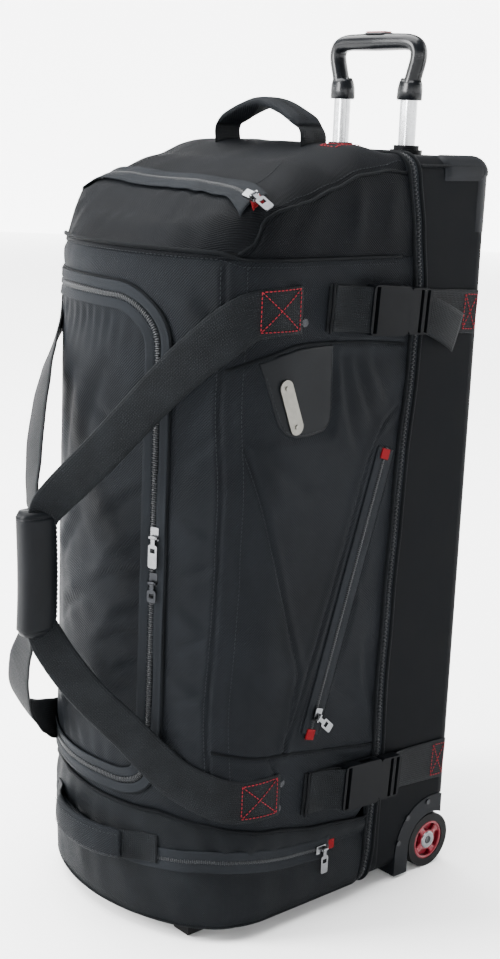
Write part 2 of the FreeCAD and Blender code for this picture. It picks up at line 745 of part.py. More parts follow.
def haul_route(levels, free_run):
    """From the side panel round the front corner, then straight to the wrap."""
    centre = Vector(size("half_width") - size("corner_radius"), size("corner_centre"), 0)
    corner = [centre + Vector(HAUL_REACH * sin(radians(turn)), -HAUL_REACH * cos(radians(turn)), level)
              for turn, level in zip(HAUL_TURNS, levels)]
    return corner + [Vector(*point) for point in free_run]


def make_haul_strap():
    routes = (haul_route((719, 717, 710, 697), HAUL_UPPER), haul_route((171.5, 171.5, 173, 180), HAUL_LOWER))
    runs = [ribbon(route, Vector(0, 0, 1), size("webbing"), size("webbing_thick")) for route in routes]
    return Part.makeCompound(runs)


haul_right = solid("haul_shape", make_haul_strap())
node("haul_strap_right", haul_right)
node("haul_strap_left", mirror("haul_copy", haul_right))


def make_wrap():
    body = brick((-14, -265, 355), (14, -223, 496))
    return body.makeFillet(9, [edge for edge in body.Edges if edge.BoundBox.ZLength > 100])


node("haul_wrap", solid("wrap_shape", make_wrap()))


def make_top_handle():
    route = [(-116, 890.8), (-80, 891), (-66, 912), (-40, 928), (0, 932),
             (40, 928), (66, 912), (80, 891), (116, 890.8)]
    return ribbon([Vector(x, 66, z) for x, z in route], Vector(0, 1, 0), 38, 4)


node("top_handle", solid("top_handle_shape", make_top_handle()))


def make_bottom_handle():
    route = [(-95.5, -140.6), (-79.3, -146.8), (-60, -168), (0, -181),
             (60, -168), (79.3, -146.8), (95.5, -140.6)]
    level = size("lower_zip_level") + 24
    return ribbon([Vector(x, y, level) for x, y in route], Vector(0, 0, 1), 32, 6)


node("bottom_handle", solid("bottom_handle_shape", make_bottom_handle()))

# ---------------------------------------------------------------- sliders, pulls and the badge

def axes_frame(origin, outward, along):
    """Local x runs across a zipper, y out of the bag and z along the zipper."""
    along = Vector(along).normalize()
    outward = (outward - along * outward.dot(along)).normalize()
    across = outward.cross(along)
    return Placement(FreeCAD.Matrix(across.x, outward.x, along.x, origin.x,
                                    across.y, outward.y, along.y, origin.y,
                                    across.z, outward.z, along.z, origin.z, 0, 0, 0, 1))


PIN_RISE = 8.6


def make_slider(origin, outward, along, down):
    """A zipper slider on its track, with a bridge and pin square to the way its pull hangs."""
    half = size("slider_width") / 2
    base = size("coil_rise") + 0.4
    body = brick((-half, base, -4), (half, base + 3.4, size("slider_length") - 4))
    body = body.makeFillet(1, [edge for edge in body.Edges if edge.BoundBox.YLength > 1])
    body.Placement = axes_frame(origin, outward, along)
    bridge = Part.makeCylinder(0.9, 2 * half, Vector(-half, PIN_RISE, 0), Vector(1, 0, 0))
    for side in (-1, 1):
        low, high = sorted((side * (half - 1.4), side * half))
        bridge = bridge.fuse(brick((low, base + 3, -1.2), (high, PIN_RISE + 1.2, 1.2)))
    bridge.Placement = axes_frame(origin, outward, down)
    return body.fuse(bridge)


def make_pull(origin, outward, down, length):
    """A flat metal pull that hangs from a slider's pin towards down."""
    half = size("pull_width") / 2
    eye = Part.makeCylinder(2, 6.4, Vector(-3.2, PIN_RISE, 0), Vector(1, 0, 0))
    neck = brick((-2.4, PIN_RISE - 0.8, 1), (2.4, PIN_RISE + 0.8, 9))
    plate = brick((-half, PIN_RISE - 0.8, 8), (half, PIN_RISE + 0.8, length))
    plate = plate.makeFillet(2.4, [edge for edge in plate.Edges if abs(edge.Length - 1.6) < 0.05])
    bore = Part.makeCylinder(1, 10, Vector(-5, PIN_RISE, 0), Vector(1, 0, 0))
    window = brick((-3, PIN_RISE - 2, 12), (3, PIN_RISE + 2, 17))
    shape = eye.fuse(neck).fuse(plate).cut(bore).cut(window)
    shape.Placement = axes_frame(origin, outward, down)
    return shape


UP = Vector(0, 0, 1)
RIGHT = Vector(1, 0, 0)
POCKET_HANG = Vector(0, 0.62, -0.55)
CAP_HANG = Vector(0.62, 0.1, -0.37)
leg_y = -141.1
LEG_OUT = Vector(0.336, -0.942, 0)
pocket_x = size("half_width") + 3.7
front_upper = Vector(size("flap_right"), leg_y, 470)
front_lower = Vector(size("flap_right"), leg_y, 419)
pocket_pin = Vector(pocket_x, POCKET_LOW.y, POCKET_LOW.z) + pocket_run * 12
cap_pin = Vector(150, -82, 832)
cap_out = Vector(0.5, -0.5, 0.7)
tub_pin = Vector(size("half_width") + 0.2, 46, size("lower_zip_level"))
pull_length = size("pull_length")
node("front_slider_upper", solid("slider_a", make_slider(front_upper, LEG_OUT, UP, -UP)))
node("front_pull_upper", solid("pull_a", make_pull(front_upper, LEG_OUT, -UP, pull_length)))
node("front_slider_lower", solid("slider_b", make_slider(front_lower, LEG_OUT, UP, -UP)))
node("front_pull_lower", solid("pull_b", make_pull(front_lower, LEG_OUT, -UP, 22)))
node("pocket_slider", solid("slider_c", make_slider(pocket_pin, RIGHT, pocket_run, POCKET_HANG)))
node("pocket_pull", solid("pull_c", make_pull(pocket_pin, RIGHT, POCKET_HANG, 26)))
node("fixed_sliders", solid("slider_d", Part.makeCompound([
    make_slider(cap_pin, cap_out, Vector(-0.9, -0.3, 0.3), CAP_HANG),
    make_slider(tub_pin, RIGHT, Vector(0, -1, 0), -UP)])))
node("cap_pull", solid("pull_d", make_pull(cap_pin, cap_out, CAP_HANG, 26)))
node("lower_pull", solid("pull_e", make_pull(tub_pin, RIGHT, -UP, 30)))


def make_cap_coil():
    """The top pocket's zipper: a strip that crosses the sloped front of the cap."""
    zone = brick((-156, -74, 800), (142, -74 + size("coil_width"), 900))
    outer = slab(0, size("zip_plane") - 12, size("cap_level"), 900)
    return outer.common(cap_block(-size("coil_rise") - 0.2, 26)).cut(cap_block(-0.2, 26)).common(zone)


node("pocket_zippers", solid("pocket_coils", Part.makeCompound([make_cap_coil(), lower_coil, side_coil])))


def make_end_tabs():
    """Small folded fabric tabs that finish the zippers' ends."""
    places = [(Vector(pocket_x, 111, 549), RIGHT, pocket_run),
              (Vector(pocket_x, 15.5, 233), RIGHT, pocket_run),
              (Vector(size("half_width") + 0.2, 60, size("lower_zip_level")), RIGHT, Vector(0, 1, 0))]
    tabs = []
    for origin, outward, along in places:
        tab = brick((-6, 0.3, -5), (6, 2.3, 7))
        tab.Placement = axes_frame(origin, outward, along)
        tabs.append(tab)
    return Part.makeCompound(tabs)


node("zipper_end_tabs", solid("end_tab_set", make_end_tabs()))


def make_patch():
    corners = [(-76, 663), (-48, 593), (-18, 581), (26, 593), (24, 677)]
    points = [Vector(size("half_width") - 30, y, z) for y, z in corners]
    column = Part.Face(Part.makePolygon(points + points[:1])).extrude(Vector(40, 0, 0))
    return front_skin(1.2, 570, 690).common(column)


node("badge_patch", solid("patch_shape", make_patch()))


def make_badge():
    x = size("half_width") + 1.8
    top, bottom = Vector(x, -43, 637), Vector(x, -26, 594)
    plate = None
    for end in (top, bottom):
        disc = Part.makeCylinder(9, 1.6, end, RIGHT)
        plate = disc if plate is None else plate.fuse(disc)
    run = (bottom - top)
    bar = brick((-9, 0, 0), (9, 1.6, run.Length))
    bar.Placement = axes_frame(top, RIGHT, run)
    plate = plate.fuse(bar)
    for end in (top, bottom):
        plate = plate.fuse(Part.makeCylinder(2.6, 2.8, end, RIGHT))
    return plate


node("badge_plate", solid("badge_shape", make_badge()))

# ---------------------------------------------------------------- check and write

doc.recompute()
for obj in doc.Objects:
    if "Invalid" in obj.State or "Error" in obj.State:
        raise RuntimeError(f"{obj.Label} failed to compute")
for obj in NODES:
    if obj.Shape.isNull() or not obj.Shape.isValid():
        raise RuntimeError(f"{obj.Label} is not a valid shape")
os.makedirs("parts", exist_ok=True)
for obj in NODES:
    obj.Shape.exportStep(f"parts/{obj.Label}.step")
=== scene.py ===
import math

import bmesh
import bpy
from mathutils import Matrix, Vector, noise


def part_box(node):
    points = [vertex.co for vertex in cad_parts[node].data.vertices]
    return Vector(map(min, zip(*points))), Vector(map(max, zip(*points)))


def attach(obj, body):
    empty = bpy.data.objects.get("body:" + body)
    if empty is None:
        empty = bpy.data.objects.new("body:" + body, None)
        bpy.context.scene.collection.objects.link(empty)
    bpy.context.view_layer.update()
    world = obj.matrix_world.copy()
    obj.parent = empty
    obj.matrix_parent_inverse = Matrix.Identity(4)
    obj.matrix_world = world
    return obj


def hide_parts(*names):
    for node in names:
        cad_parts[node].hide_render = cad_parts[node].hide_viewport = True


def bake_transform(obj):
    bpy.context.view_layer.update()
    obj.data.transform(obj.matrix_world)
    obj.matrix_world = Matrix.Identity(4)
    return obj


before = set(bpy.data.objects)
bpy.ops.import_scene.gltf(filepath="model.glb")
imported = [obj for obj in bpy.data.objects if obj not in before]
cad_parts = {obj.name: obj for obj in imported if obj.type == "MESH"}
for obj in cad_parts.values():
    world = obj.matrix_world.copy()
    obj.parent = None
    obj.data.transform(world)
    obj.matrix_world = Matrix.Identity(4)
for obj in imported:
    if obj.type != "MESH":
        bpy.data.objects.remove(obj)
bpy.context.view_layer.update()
MM = 0.001

# ---------------------------------------------------------------- sizes read from the frame

MAIN_LOW, MAIN_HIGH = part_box("main_compartment")
SHELL_LOW, SHELL_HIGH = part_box("rear_shell")
TUB_LOW, TUB_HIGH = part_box("lower_compartment")
CAP_LOW, CAP_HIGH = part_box("top_cap")
BAND_LOW, BAND_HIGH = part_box("perimeter_zipper")
HALF = MAIN_HIGH[0]
APEX_Y = MAIN_LOW[1]
REAR_Y = SHELL_HIGH[1]
SHELL_TOP = SHELL_HIGH[2]
FLOOR_EDGE = TUB_LOW[2]

# plan outline of the front body: bowed front, round corners, straight sides
CORNER_R = 100 * MM
CORNER_Y = APEX_Y + 117 * MM
CORNER_X = HALF - CORNER_R
RISE = CORNER_Y - APEX_Y
BOW_R = (CORNER_X ** 2 + RISE ** 2 - CORNER_R ** 2) / (2 * (RISE - CORNER_R))
BOW_Y = APEX_Y + BOW_R
BOW_ANGLE = math.asin(CORNER_X / (BOW_R - CORNER_R))
BOW_LENGTH = BOW_R * BOW_ANGLE
CORNER_LENGTH = CORNER_R * (math.pi / 2 - BOW_ANGLE)
SIDE_START = BOW_LENGTH + CORNER_LENGTH


def clamp(value, low=0.0, high=1.0):
    return max(low, min(high, value))


def smooth(value, low=0.0, high=1.0):
    t = clamp((value - low) / (high - low))
    return t * t * (3 - 2 * t)


def lerp(a, b, t):
    return a + (b - a) * t


def through(value, points):
    """Smooth curve through (key, value) points."""
    if value <= points[0][0]:
        return points[0][1]
    for (k0, v0), (k1, v1) in zip(points, points[1:]):
        if value <= k1:
            t = (value - k0) / (k1 - k0)
            return lerp(v0, v1, t * t * (3 - 2 * t) * 0.5 + t * 0.5)
    return points[-1][1]


def outline(u):
    """Point and outward normal of the front body's plan at arc length u from the front's middle."""
    side = 1 if u >= 0 else -1
    s = abs(u)
    if s <= BOW_LENGTH:
        turn = s / BOW_R
        x, y = BOW_R * math.sin(turn), BOW_Y - BOW_R * math.cos(turn)
    elif s <= SIDE_START:
        turn = BOW_ANGLE + (s - BOW_LENGTH) / CORNER_R
        x, y = CORNER_X + CORNER_R * math.sin(turn), CORNER_Y - CORNER_R * math.cos(turn)
    else:
        turn = math.pi / 2
        x, y = HALF, CORNER_Y + s - SIDE_START
    return Vector((side * x, y, 0)), Vector((side * math.sin(turn), -math.cos(turn), 0))


def at_side(y):
    """Arc length at which the plan passes y on the straight side."""
    return SIDE_START + y - CORNER_Y


def wall_point(u, z, lift=0.0):
    point, normal = outline(u)
    return Vector((point.x + normal.x * lift, point.y + normal.y * lift, z))


def hump(value, width):
    return math.exp(-(value / width) ** 2)


def soft_noise(a, b, seed, size):
    return noise.noise(Vector((a / size, b / size, seed * 7.31)))


# ---------------------------------------------------------------- materials

def new_material(name):
    material = bpy.data.materials.new(name)
    material.use_nodes = True
    tree = material.node_tree
    tree.nodes.clear()
    output = tree.nodes.new("ShaderNodeOutputMaterial")
    shader = tree.nodes.new("ShaderNodeBsdfPrincipled")
    tree.links.new(shader.outputs[0], output.inputs[0])
    return material, tree, shader


class Graph:
    """Short names for the node links that the materials share."""

    def __init__(self, tree):
        self.tree = tree

    def node(self, kind, **values):
        made = self.tree.nodes.new(kind)
        for key, value in values.items():
            if hasattr(made, key):
                setattr(made, key, value)
            else:
                made.inputs[key.replace("_", " ")].default_value = value
        return made

    def link(self, source, target):
        self.tree.links.new(source, target)

    def math(self, operation, a, b=0.0):
        made = self.tree.nodes.new("ShaderNodeMath")
        made.operation = operation
        for slot, value in enumerate((a, b)):
            if isinstance(value, (int, float)):
                made.inputs[slot].default_value = value
            else:
                self.link(value, made.inputs[slot])
        return made.outputs[0]

    def cloth(self, scale, turn=0.0, attribute="cloth"):
        """Cloth coordinates in metres, scaled and turned, as one vector."""
        if attribute:
            source = self.node("ShaderNodeAttribute", attribute_name=attribute).outputs["Vector"]
        else:
            source = self.node("ShaderNodeTexCoord").outputs["Object"]
        mapping = self.node("ShaderNodeMapping")
        mapping.inputs["Scale"].default_value = (scale, scale, scale)
        mapping.inputs["Rotation"].default_value = (0, 0, turn)
        self.link(source, mapping.inputs["Vector"])
        return mapping.outputs[0]

    def split(self, vector):
        made = self.node("ShaderNodeSeparateXYZ")
        self.link(vector, made.inputs[0])
        return made.outputs

    def noise(self, vector, scale, detail=3.0):
        made = self.node("ShaderNodeTexNoise")
        made.inputs["Scale"].default_value = scale
        made.inputs["Detail"].default_value = detail
        self.link(vector, made.inputs["Vector"])
        return made.outputs["Fac"]

    def ramp(self, value, stops):
        made = self.node("ShaderNodeValToRGB")
        elements = made.color_ramp.elements
        while len(elements) < len(stops):
            elements.new(0.5)
        for element, (position, colour) in zip(elements, stops):
            element.position = position
            element.color = (*colour, 1)
        self.link(value, made.inputs[0])
        return made.outputs[0]

    def bump(self, height, strength, distance, shader):
        made = self.node("ShaderNodeBump")
        made.inputs["Strength"].default_value = strength
        made.inputs["Distance"].default_value = distance
        self.link(height, made.inputs["Height"])
        self.link(made.outputs[0], shader.inputs["Normal"])


def mix_colour(dark, amount):
    return tuple(min(1.0, channel * amount) for channel in dark)


def fabric(name, colour, pitch=2.2 * MM, twill=True, rough=0.56, sheen=0.004, depth=0.8, attribute="cloth"):
    """Polyester: a diagonal twill or a plain basket weave, with faint wear and a soft sheen."""
    material, tree, shader = new_material(name)
    g = Graph(tree)
    across = g.split(g.cloth(2 * math.pi / pitch, 0.72 if twill else 0.0, attribute))
    warp = g.math("SINE", across[0])
    weft = g.math("SINE", across[1])
    if twill:
        threads = g.math("ADD", g.math("MULTIPLY", warp, 0.7), g.math("MULTIPLY", weft, 0.3))
    else:
        threads = g.math("MULTIPLY", warp, weft)
    patches = g.noise(g.cloth(1.0, 0.0, attribute), 9.0)
    fuzz = g.noise(g.cloth(1.0, 0.0, attribute), 900.0, 2.0)
    level = g.math("ADD", g.math("MULTIPLY", threads, 0.3), g.math("MULTIPLY", patches, 0.8))
    level = g.math("ADD", level, g.math("MULTIPLY", fuzz, 0.25))
    g.link(g.ramp(level, [(0.1, mix_colour(colour, 0.35)), (0.95, mix_colour(colour, 1.9))]),
           shader.inputs["Base Color"])
    rough_node = g.math("ADD", g.math("MULTIPLY", patches, 0.18), rough - 0.09)
    g.link(rough_node, shader.inputs["Roughness"])
    shader.inputs["Sheen Weight"].default_value = sheen
    shader.inputs["Sheen Roughness"].default_value = 0.45
    shader.inputs["Sheen Tint"].default_value = (0.75, 0.85, 1.0, 1)
    shader.inputs["Specular IOR Level"].default_value = 0.025
    height = g.math("ADD", threads, g.math("MULTIPLY", fuzz, 0.8))
    g.bump(height, depth, 0.4 * MM, shader)
    return material


def webbing(name, colour, rib=2.6 * MM, attribute="cloth"):
    """Woven webbing: lengthwise ribs crossed by fine picks."""
    material, tree, shader = new_material(name)
    g = Graph(tree)
    across = g.split(g.cloth(2 * math.pi / rib, 0.0, attribute))
    ribs = g.math("SINE", across[0])
    picks = g.math("SINE", g.math("ADD", g.math("MULTIPLY", across[1], 1.1), g.math("MULTIPLY", ribs, 1.2)))
    weave = g.math("ADD", g.math("MULTIPLY", ribs, 0.4), g.math("MULTIPLY", picks, 0.6))
    patches = g.noise(g.cloth(1.0, 0.0, attribute), 30.0)
    level = g.math("ADD", g.math("MULTIPLY", weave, 0.26), g.math("MULTIPLY", patches, 0.8))
    g.link(g.ramp(level, [(0.1, mix_colour(colour, 0.5)), (0.85, mix_colour(colour, 1.7))]),
           shader.inputs["Base Color"])
    shader.inputs["Roughness"].default_value = 0.55
    shader.inputs["Specular IOR Level"].default_value = 0.035
    shader.inputs["Sheen Weight"].default_value = 0.004
    shader.inputs["Sheen Roughness"].default_value = 0.5
    g.bump(weave, 0.6, 0.5 * MM, shader)
    return material


def plastic(name, colour, rough=0.45, grain=420.0, depth=0.12, coat=0.0, specular=0.5):
    """Moulded plastic: fine grain, slight mottling and a little handling wear."""
    material, tree, shader = new_material(name)
    g = Graph(tree)
    place = g.cloth(1.0, 0.0, None)
    mottle = g.noise(place, 25.0)
    fine = g.noise(place, grain, 2.0)
    g.link(g.ramp(mottle, [(0.3, mix_colour(colour, 0.85)), (0.75, mix_colour(colour, 1.2))]),
           shader.inputs["Base Color"])
    g.link(g.math("ADD", g.math("MULTIPLY", mottle, 0.2), rough - 0.1), shader.inputs["Roughness"])
    shader.inputs["Specular IOR Level"].default_value = specular
    shader.inputs["Coat Weight"].default_value = coat
    shader.inputs["Coat Roughness"].default_value = 0.25
    g.bump(fine, depth, 0.3 * MM, shader)
    return material


def metal(name, colour, rough=0.25, brushed=0.0):
    """Plated or anodised metal with faint streaks and spots."""
    material, tree, shader = new_material(name)
    g = Graph(tree)
    place = g.cloth(1.0, 0.0, None)
    spots = g.noise(place, 160.0)
    g.link(g.ramp(spots, [(0.25, mix_colour(colour, 0.8)), (0.8, mix_colour(colour, 1.08))]),
           shader.inputs["Base Color"])
    g.link(g.math("ADD", g.math("MULTIPLY", spots, 0.16), rough - 0.08), shader.inputs["Roughness"])
    shader.inputs["Metallic"].default_value = 1.0
    if brushed:
        g.bump(g.noise(place, 1200.0), brushed, 0.1 * MM, shader)
    return material


BLACK = (0.0038, 0.0044, 0.0053)
MATERIALS = {
    "fabric": fabric("black_twill", BLACK),
    # The cap's twill is the black twill darkened to under half: painted shade that dims the top, which faces the
    # overhead light.
    "cap": fabric("cap_twill_painted_shade", (0.0016, 0.0019, 0.0024)),
    "ripstop": fabric("lower_ripstop", (0.0036, 0.0042, 0.0049), pitch=2.4 * MM, twill=False, rough=0.5),
    "tape": fabric("zipper_tape", (0.0068, 0.0078, 0.0092), pitch=1.5 * MM, twill=False),
    "webbing": webbing("black_webbing", (0.0037, 0.0043, 0.005)),
    "binding": fabric("binding_tape", (0.0024, 0.0028, 0.0033), pitch=1.4 * MM, twill=False, rough=0.55),
    "shell": plastic("shell_laminate", (0.0013, 0.0016, 0.0021), rough=0.62, grain=900.0, depth=0.2, specular=0.025),
    # The coil is black nylon lightened well above the twill: painted highlight standing in for the teeth's glints.
    "coil": plastic("nylon_coil_painted_glint", (0.0062, 0.0072, 0.0085), rough=0.35, specular=0.2),
    "buckle": plastic("buckle_acetal", (0.002, 0.0023, 0.0028), rough=0.34, depth=0.06, specular=0.03),
    "housing": plastic("housing_plastic", (0.0042, 0.0048, 0.0058), rough=0.48, grain=700.0, depth=0.25,
                       specular=0.04),
    "grip": plastic("grip_plastic", (0.003, 0.0035, 0.0043), rough=0.24, depth=0.04, coat=0.02, specular=0.13),
    "tyre": plastic("tyre_rubber", (0.003, 0.003, 0.0033), rough=0.7, depth=0.3, specular=0.08),
    "hub": plastic("hub_red", (0.105, 0.003, 0.009), rough=0.32, depth=0.04, specular=0.25),
    "red": fabric("red_tab", (0.07, 0.0018, 0.0032), pitch=1.2 * MM, twill=False),
    "thread": plastic("red_thread", (0.13, 0.005, 0.010), rough=0.6, specular=0.08),
    "dark_thread": plastic("black_thread", (0.0085, 0.0098, 0.0115), rough=0.6, specular=0.1),
    "button": plastic("button_red", (0.12, 0.004, 0.006), rough=0.3, coat=0.1),
    "aluminium": metal("tube_aluminium", (0.3, 0.306, 0.315), rough=0.26, brushed=0.1),
    "gunmetal": metal("dark_plated_metal", (0.055, 0.057, 0.061), rough=0.27),
    "steel": metal("plated_metal", (0.13, 0.134, 0.14), rough=0.24),
    "badge": metal("badge_metal", (0.12, 0.117, 0.105), rough=0.4, brushed=0.15),
    "black_metal": metal("blackened_metal", (0.02, 0.021, 0.023), rough=0.35),
    "leather": plastic("coated_leatherette", (0.003, 0.0035, 0.0042), rough=0.42, grain=260.0, depth=0.25,
                       specular=0.05),
    "board": plastic("stiffening_board", (0.01, 0.01, 0.01), rough=0.8, specular=0.05),
}

# ---------------------------------------------------------------- finishes on the frame's own parts

NODE_FINISH = {
    "rear_shell": ("shell", 1.5), "frame_panel": ("board", 0), "handle_guides": ("housing", 0),
    "guide_bracket": ("housing", 1), "handle_bezels": ("buckle", 1.5), "handle_tubes": ("aluminium", 0.8),
    "handle_grip": ("grip", 2), "release_button": ("button", 1.2), "release_rods": ("steel", 0),
    "lock_pin_right": ("steel", 0.3), "lock_pin_left": ("steel", 0.3), "divider": ("fabric", 0),
    "cap_liner": ("fabric", 0), "wheel_housings": ("housing", 1.2), "axles": ("steel", 0.5),
    "tyre_right": ("tyre", 2.5), "tyre_left": ("tyre", 2.5), "hub_right": ("hub", 0.6),
    "hub_left": ("hub", 0.6), "bearings_right": ("steel", 0.3), "bearings_left": ("steel", 0.3),
    "corner_guards": ("shell", 1), "base_board": ("board", 0), "skid_feet": ("tyre", 2.5),
    "housing_screws": ("black_metal", 0.4), "buckle_sockets": ("buckle", 1.6),
    "buckle_plug_upper_right": ("buckle", 1), "buckle_plug_upper_left": ("buckle", 1),
    "buckle_plug_lower_right": ("buckle", 1), "buckle_plug_lower_left": ("buckle", 1),
    "snap_rivets": ("black_metal", 0.5), "front_slider_upper": ("steel", 0.8),
    "front_slider_lower": ("black_metal", 0.8), "front_pull_upper": ("steel", 0.6),
    "front_pull_lower": ("black_metal", 0.6), "pocket_slider": ("steel", 0.8), "pocket_pull": ("steel", 0.6),
    "fixed_sliders": ("steel", 0.8), "cap_pull": ("gunmetal", 0.6), "lower_pull": ("steel", 0.6),
    "zipper_end_tabs": ("red", 0.5), "badge_plate": ("badge", 0.5), "badge_patch": ("leather", 0.4),
    "main_compartment": ("fabric", 0), "front_flap": ("fabric", 0), "front_zipper": ("coil", 0),
    "lower_compartment": ("fabric", 0), "pocket_zippers": ("coil", 0), "top_cap": ("fabric", 0),
    "perimeter_zipper": ("binding", 0), "side_pocket": ("fabric", 0), "front_straps": ("webbing", 0),
    "rear_straps": ("webbing", 0), "strap_tail_right": ("webbing", 0), "strap_tail_left": ("webbing", 0),
    "haul_strap_right": ("webbing", 0), "haul_strap_left": ("webbing", 0), "haul_wrap": ("fabric", 0),
    "top_handle": ("fabric", 0), "bottom_handle": ("fabric", 0),
}


def finish_nodes():
    """Gives every carried-over part its material and rounds its hard edges."""
    for name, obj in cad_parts.items():
        finish, bevel = NODE_FINISH[name]
        obj.data.materials.clear()
        obj.data.materials.append(MATERIALS[finish])
        for face in obj.data.polygons:
            face.material_index = 0
        if bevel:
            rounding = obj.modifiers.new("rounding", "BEVEL")
            rounding.width = bevel * MM
            rounding.segments = 3
            rounding.limit_method = "ANGLE"
            rounding.angle_limit = math.radians(32)
            rounding.harden_normals = True


finish_nodes()

# ---------------------------------------------------------------- camera, floor and light

def make_camera():
    yaw, pitch, roll = (math.radians(a) for a in (48.224, 13.057, 2.367))
    forward = Vector((-math.sin(yaw) * math.cos(pitch), math.cos(yaw) * math.cos(pitch), -math.sin(pitch)))
    right = Vector((math.cos(yaw), math.sin(yaw), 0))
    up = right.cross(forward)
    axis_x = right * math.cos(roll) + up * math.sin(roll)
    axis_y = up * math.cos(roll) - right * math.sin(roll)
    turn = Matrix((axis_x, axis_y, -forward)).transposed().to_4x4()
    data = bpy.data.cameras.new("camera")
    data.sensor_fit = "VERTICAL"
    data.sensor_height = 36
    data.lens = 57.08
    data.clip_start = 0.05
    camera = bpy.data.objects.new("camera", data)
    camera.matrix_world = Matrix.Translation((1.32746, -1.12327, 0.90418)) @ turn
    bpy.context.scene.collection.objects.link(camera)
    bpy.context.scene.camera = camera


def area_light(name, place, target, size, power, colour=(1, 1, 1)):
    data = bpy.data.lights.new(name, "AREA")
    data.shape = "RECTANGLE"
    data.size, data.size_y = size
    data.energy = power
    data.color = colour
    light = bpy.data.objects.new(name, data)
    light.location = place
    light.rotation_euler = (Vector(target) - Vector(place)).to_track_quat("-Z", "Y").to_euler()
    bpy.context.scene.collection.objects.link(light)


def make_backdrop(reach):
    """A low pale wall all round the floor's edge, far from the bag."""
    count, high = 48, 3.2
    ring = [(reach * 0.9 * math.cos(2 * math.pi * k / count), reach * 0.9 * math.sin(2 * math.pi * k / count))
            for k in range(count)]
    mesh = bpy.data.meshes.new("backdrop")
    mesh.from_pydata([(x, y, z) for x, y in ring for z in (-0.01, high)], [],
                     [(2 * k, 2 * k + 1, (2 * k + 3) % (2 * count), (2 * k + 2) % (2 * count)) for k in range(count)])
    wall = bpy.data.objects.new("backdrop", mesh)
    bpy.context.scene.collection.objects.link(wall)
    material, tree, shader = new_material("backdrop_white")
    g = Graph(tree)
    g.link(g.ramp(g.noise(g.cloth(1.0, 0.0, None), 0.3), [(0.0, (0.88, 0.88, 0.88)), (1.0, (0.92, 0.92, 0.92))]),
           shader.inputs["Base Color"])
    shader.inputs["Roughness"].default_value = 0.9
    shader.inputs["Emission Color"].default_value = (1, 1, 1, 1)
    shader.inputs["Emission Strength"].default_value = 3.6
    mesh.materials.append(material)


def make_stage():
    mesh = bpy.data.meshes.new("floor")
    reach = 12
    mesh.from_pydata([(-reach, -reach, 0), (reach, -reach, 0), (reach, reach, 0), (-reach, reach, 0)],
                     [], [(0, 1, 2, 3)])
    floor = bpy.data.objects.new("floor", mesh)
    bpy.context.scene.collection.objects.link(floor)
    material, tree, shader = new_material("floor_white_painted_glow")
    g = Graph(tree)
    shade = g.noise(g.cloth(1.0, 0.0, None), 1.5)
    g.link(g.ramp(shade, [(0.0, (0.86, 0.86, 0.86)), (1.0, (0.9, 0.9, 0.9))]), shader.inputs["Base Color"])
    shader.inputs["Roughness"].default_value = 0.9
    shader.inputs["Specular IOR Level"].default_value = 0.1
    # The floor glows: not at all within 0.9 m of the bag, and up to strength 2.6 at 6 m. This is painted brightness
    # that whitens the distant floor.
    shader.inputs["Emission Color"].default_value = (1, 1, 1, 1)
    far = tree.nodes.new("ShaderNodeVectorMath")
    far.operation = "LENGTH"
    tree.links.new(tree.nodes.new("ShaderNodeNewGeometry").outputs["Position"], far.inputs[0])
    glow = tree.nodes.new("ShaderNodeMapRange")
    glow.inputs["From Min"].default_value = 0.9
    glow.inputs["From Max"].default_value = 6.0
    glow.inputs["To Max"].default_value = 2.6
    tree.links.new(far.outputs["Value"], glow.inputs["Value"])
    tree.links.new(glow.outputs["Result"], shader.inputs["Emission Strength"])
    mesh.materials.append(material)
    make_backdrop(reach)
    world = bpy.data.worlds.new("studio")
    world.use_nodes = True
    world.node_tree.nodes["Background"].inputs[0].default_value = (1, 1, 1, 1)
    world.node_tree.nodes["Background"].inputs[1].default_value = 0.28
    bpy.context.scene.world = world
    area_light("overhead", (-1.4, -0.5, 4.6), (-0.4, 0, 0), (6, 6), 1700)
    area_light("key", (-1.6, -2.7, 1.6), (0, 0, 0.5), (1.1, 1.6), 400)
    area_light("fill", (2.8, -0.4, 1.6), (0.1, 0, 0.5), (1.0, 1.8), 5)
    area_light("rear", (0.6, 2.6, 1.7), (0, 0.2, 0.5), (1.4, 1.4), 60)


make_camera()
make_stage()

# ---------------------------------------------------------------- mesh building

def add_piece(name, points, faces, finish, body="bag", cloth=None, merge=0.0):
    """A mesh piece with its finish and its cloth coordinates, riding on a body when one is given."""
    mesh = bpy.data.meshes.new(name)
    mesh.from_pydata([tuple(p) for p in points], [], faces)
    if cloth:
        layer = mesh.attributes.new("cloth", "FLOAT_VECTOR", "POINT")
        layer.data.foreach_set("vector", [c for uv in cloth for c in (uv[0], uv[1], 0.0)])
    mesh.materials.append(MATERIALS[finish])
    mesh.polygons.foreach_set("use_smooth", [True] * len(mesh.polygons))
    if merge:
        weld = bmesh.new()
        weld.from_mesh(mesh)
        bmesh.ops.remove_doubles(weld, verts=weld.verts, dist=merge)
        bmesh.ops.recalc_face_normals(weld, faces=weld.faces)
        weld.to_mesh(mesh)
        weld.free()
    mesh.update()
    obj = bpy.data.objects.new(name, mesh)
    bpy.context.scene.collection.objects.link(obj)
    if body:
        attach(obj, body)
    return obj


def thicken(obj, depth, inward=True):
    shell = obj.modifiers.new("thickness", "SOLIDIFY")
    shell.thickness = depth
    shell.offset = -1 if inward else 1
    return obj


def steps(low, high, pitch):
    count = max(1, round((high - low) / pitch))
    return [lerp(low, high, i / count) for i in range(count + 1)]


def grid_faces(columns, rows, wrap=False):
    faces = []
    for i in range(columns if wrap else columns - 1):
        for j in range(rows - 1):
            a, b = i * rows + j, (i + 1) % columns * rows + j
            faces.append((a, b, b + 1, a + 1))
    return faces


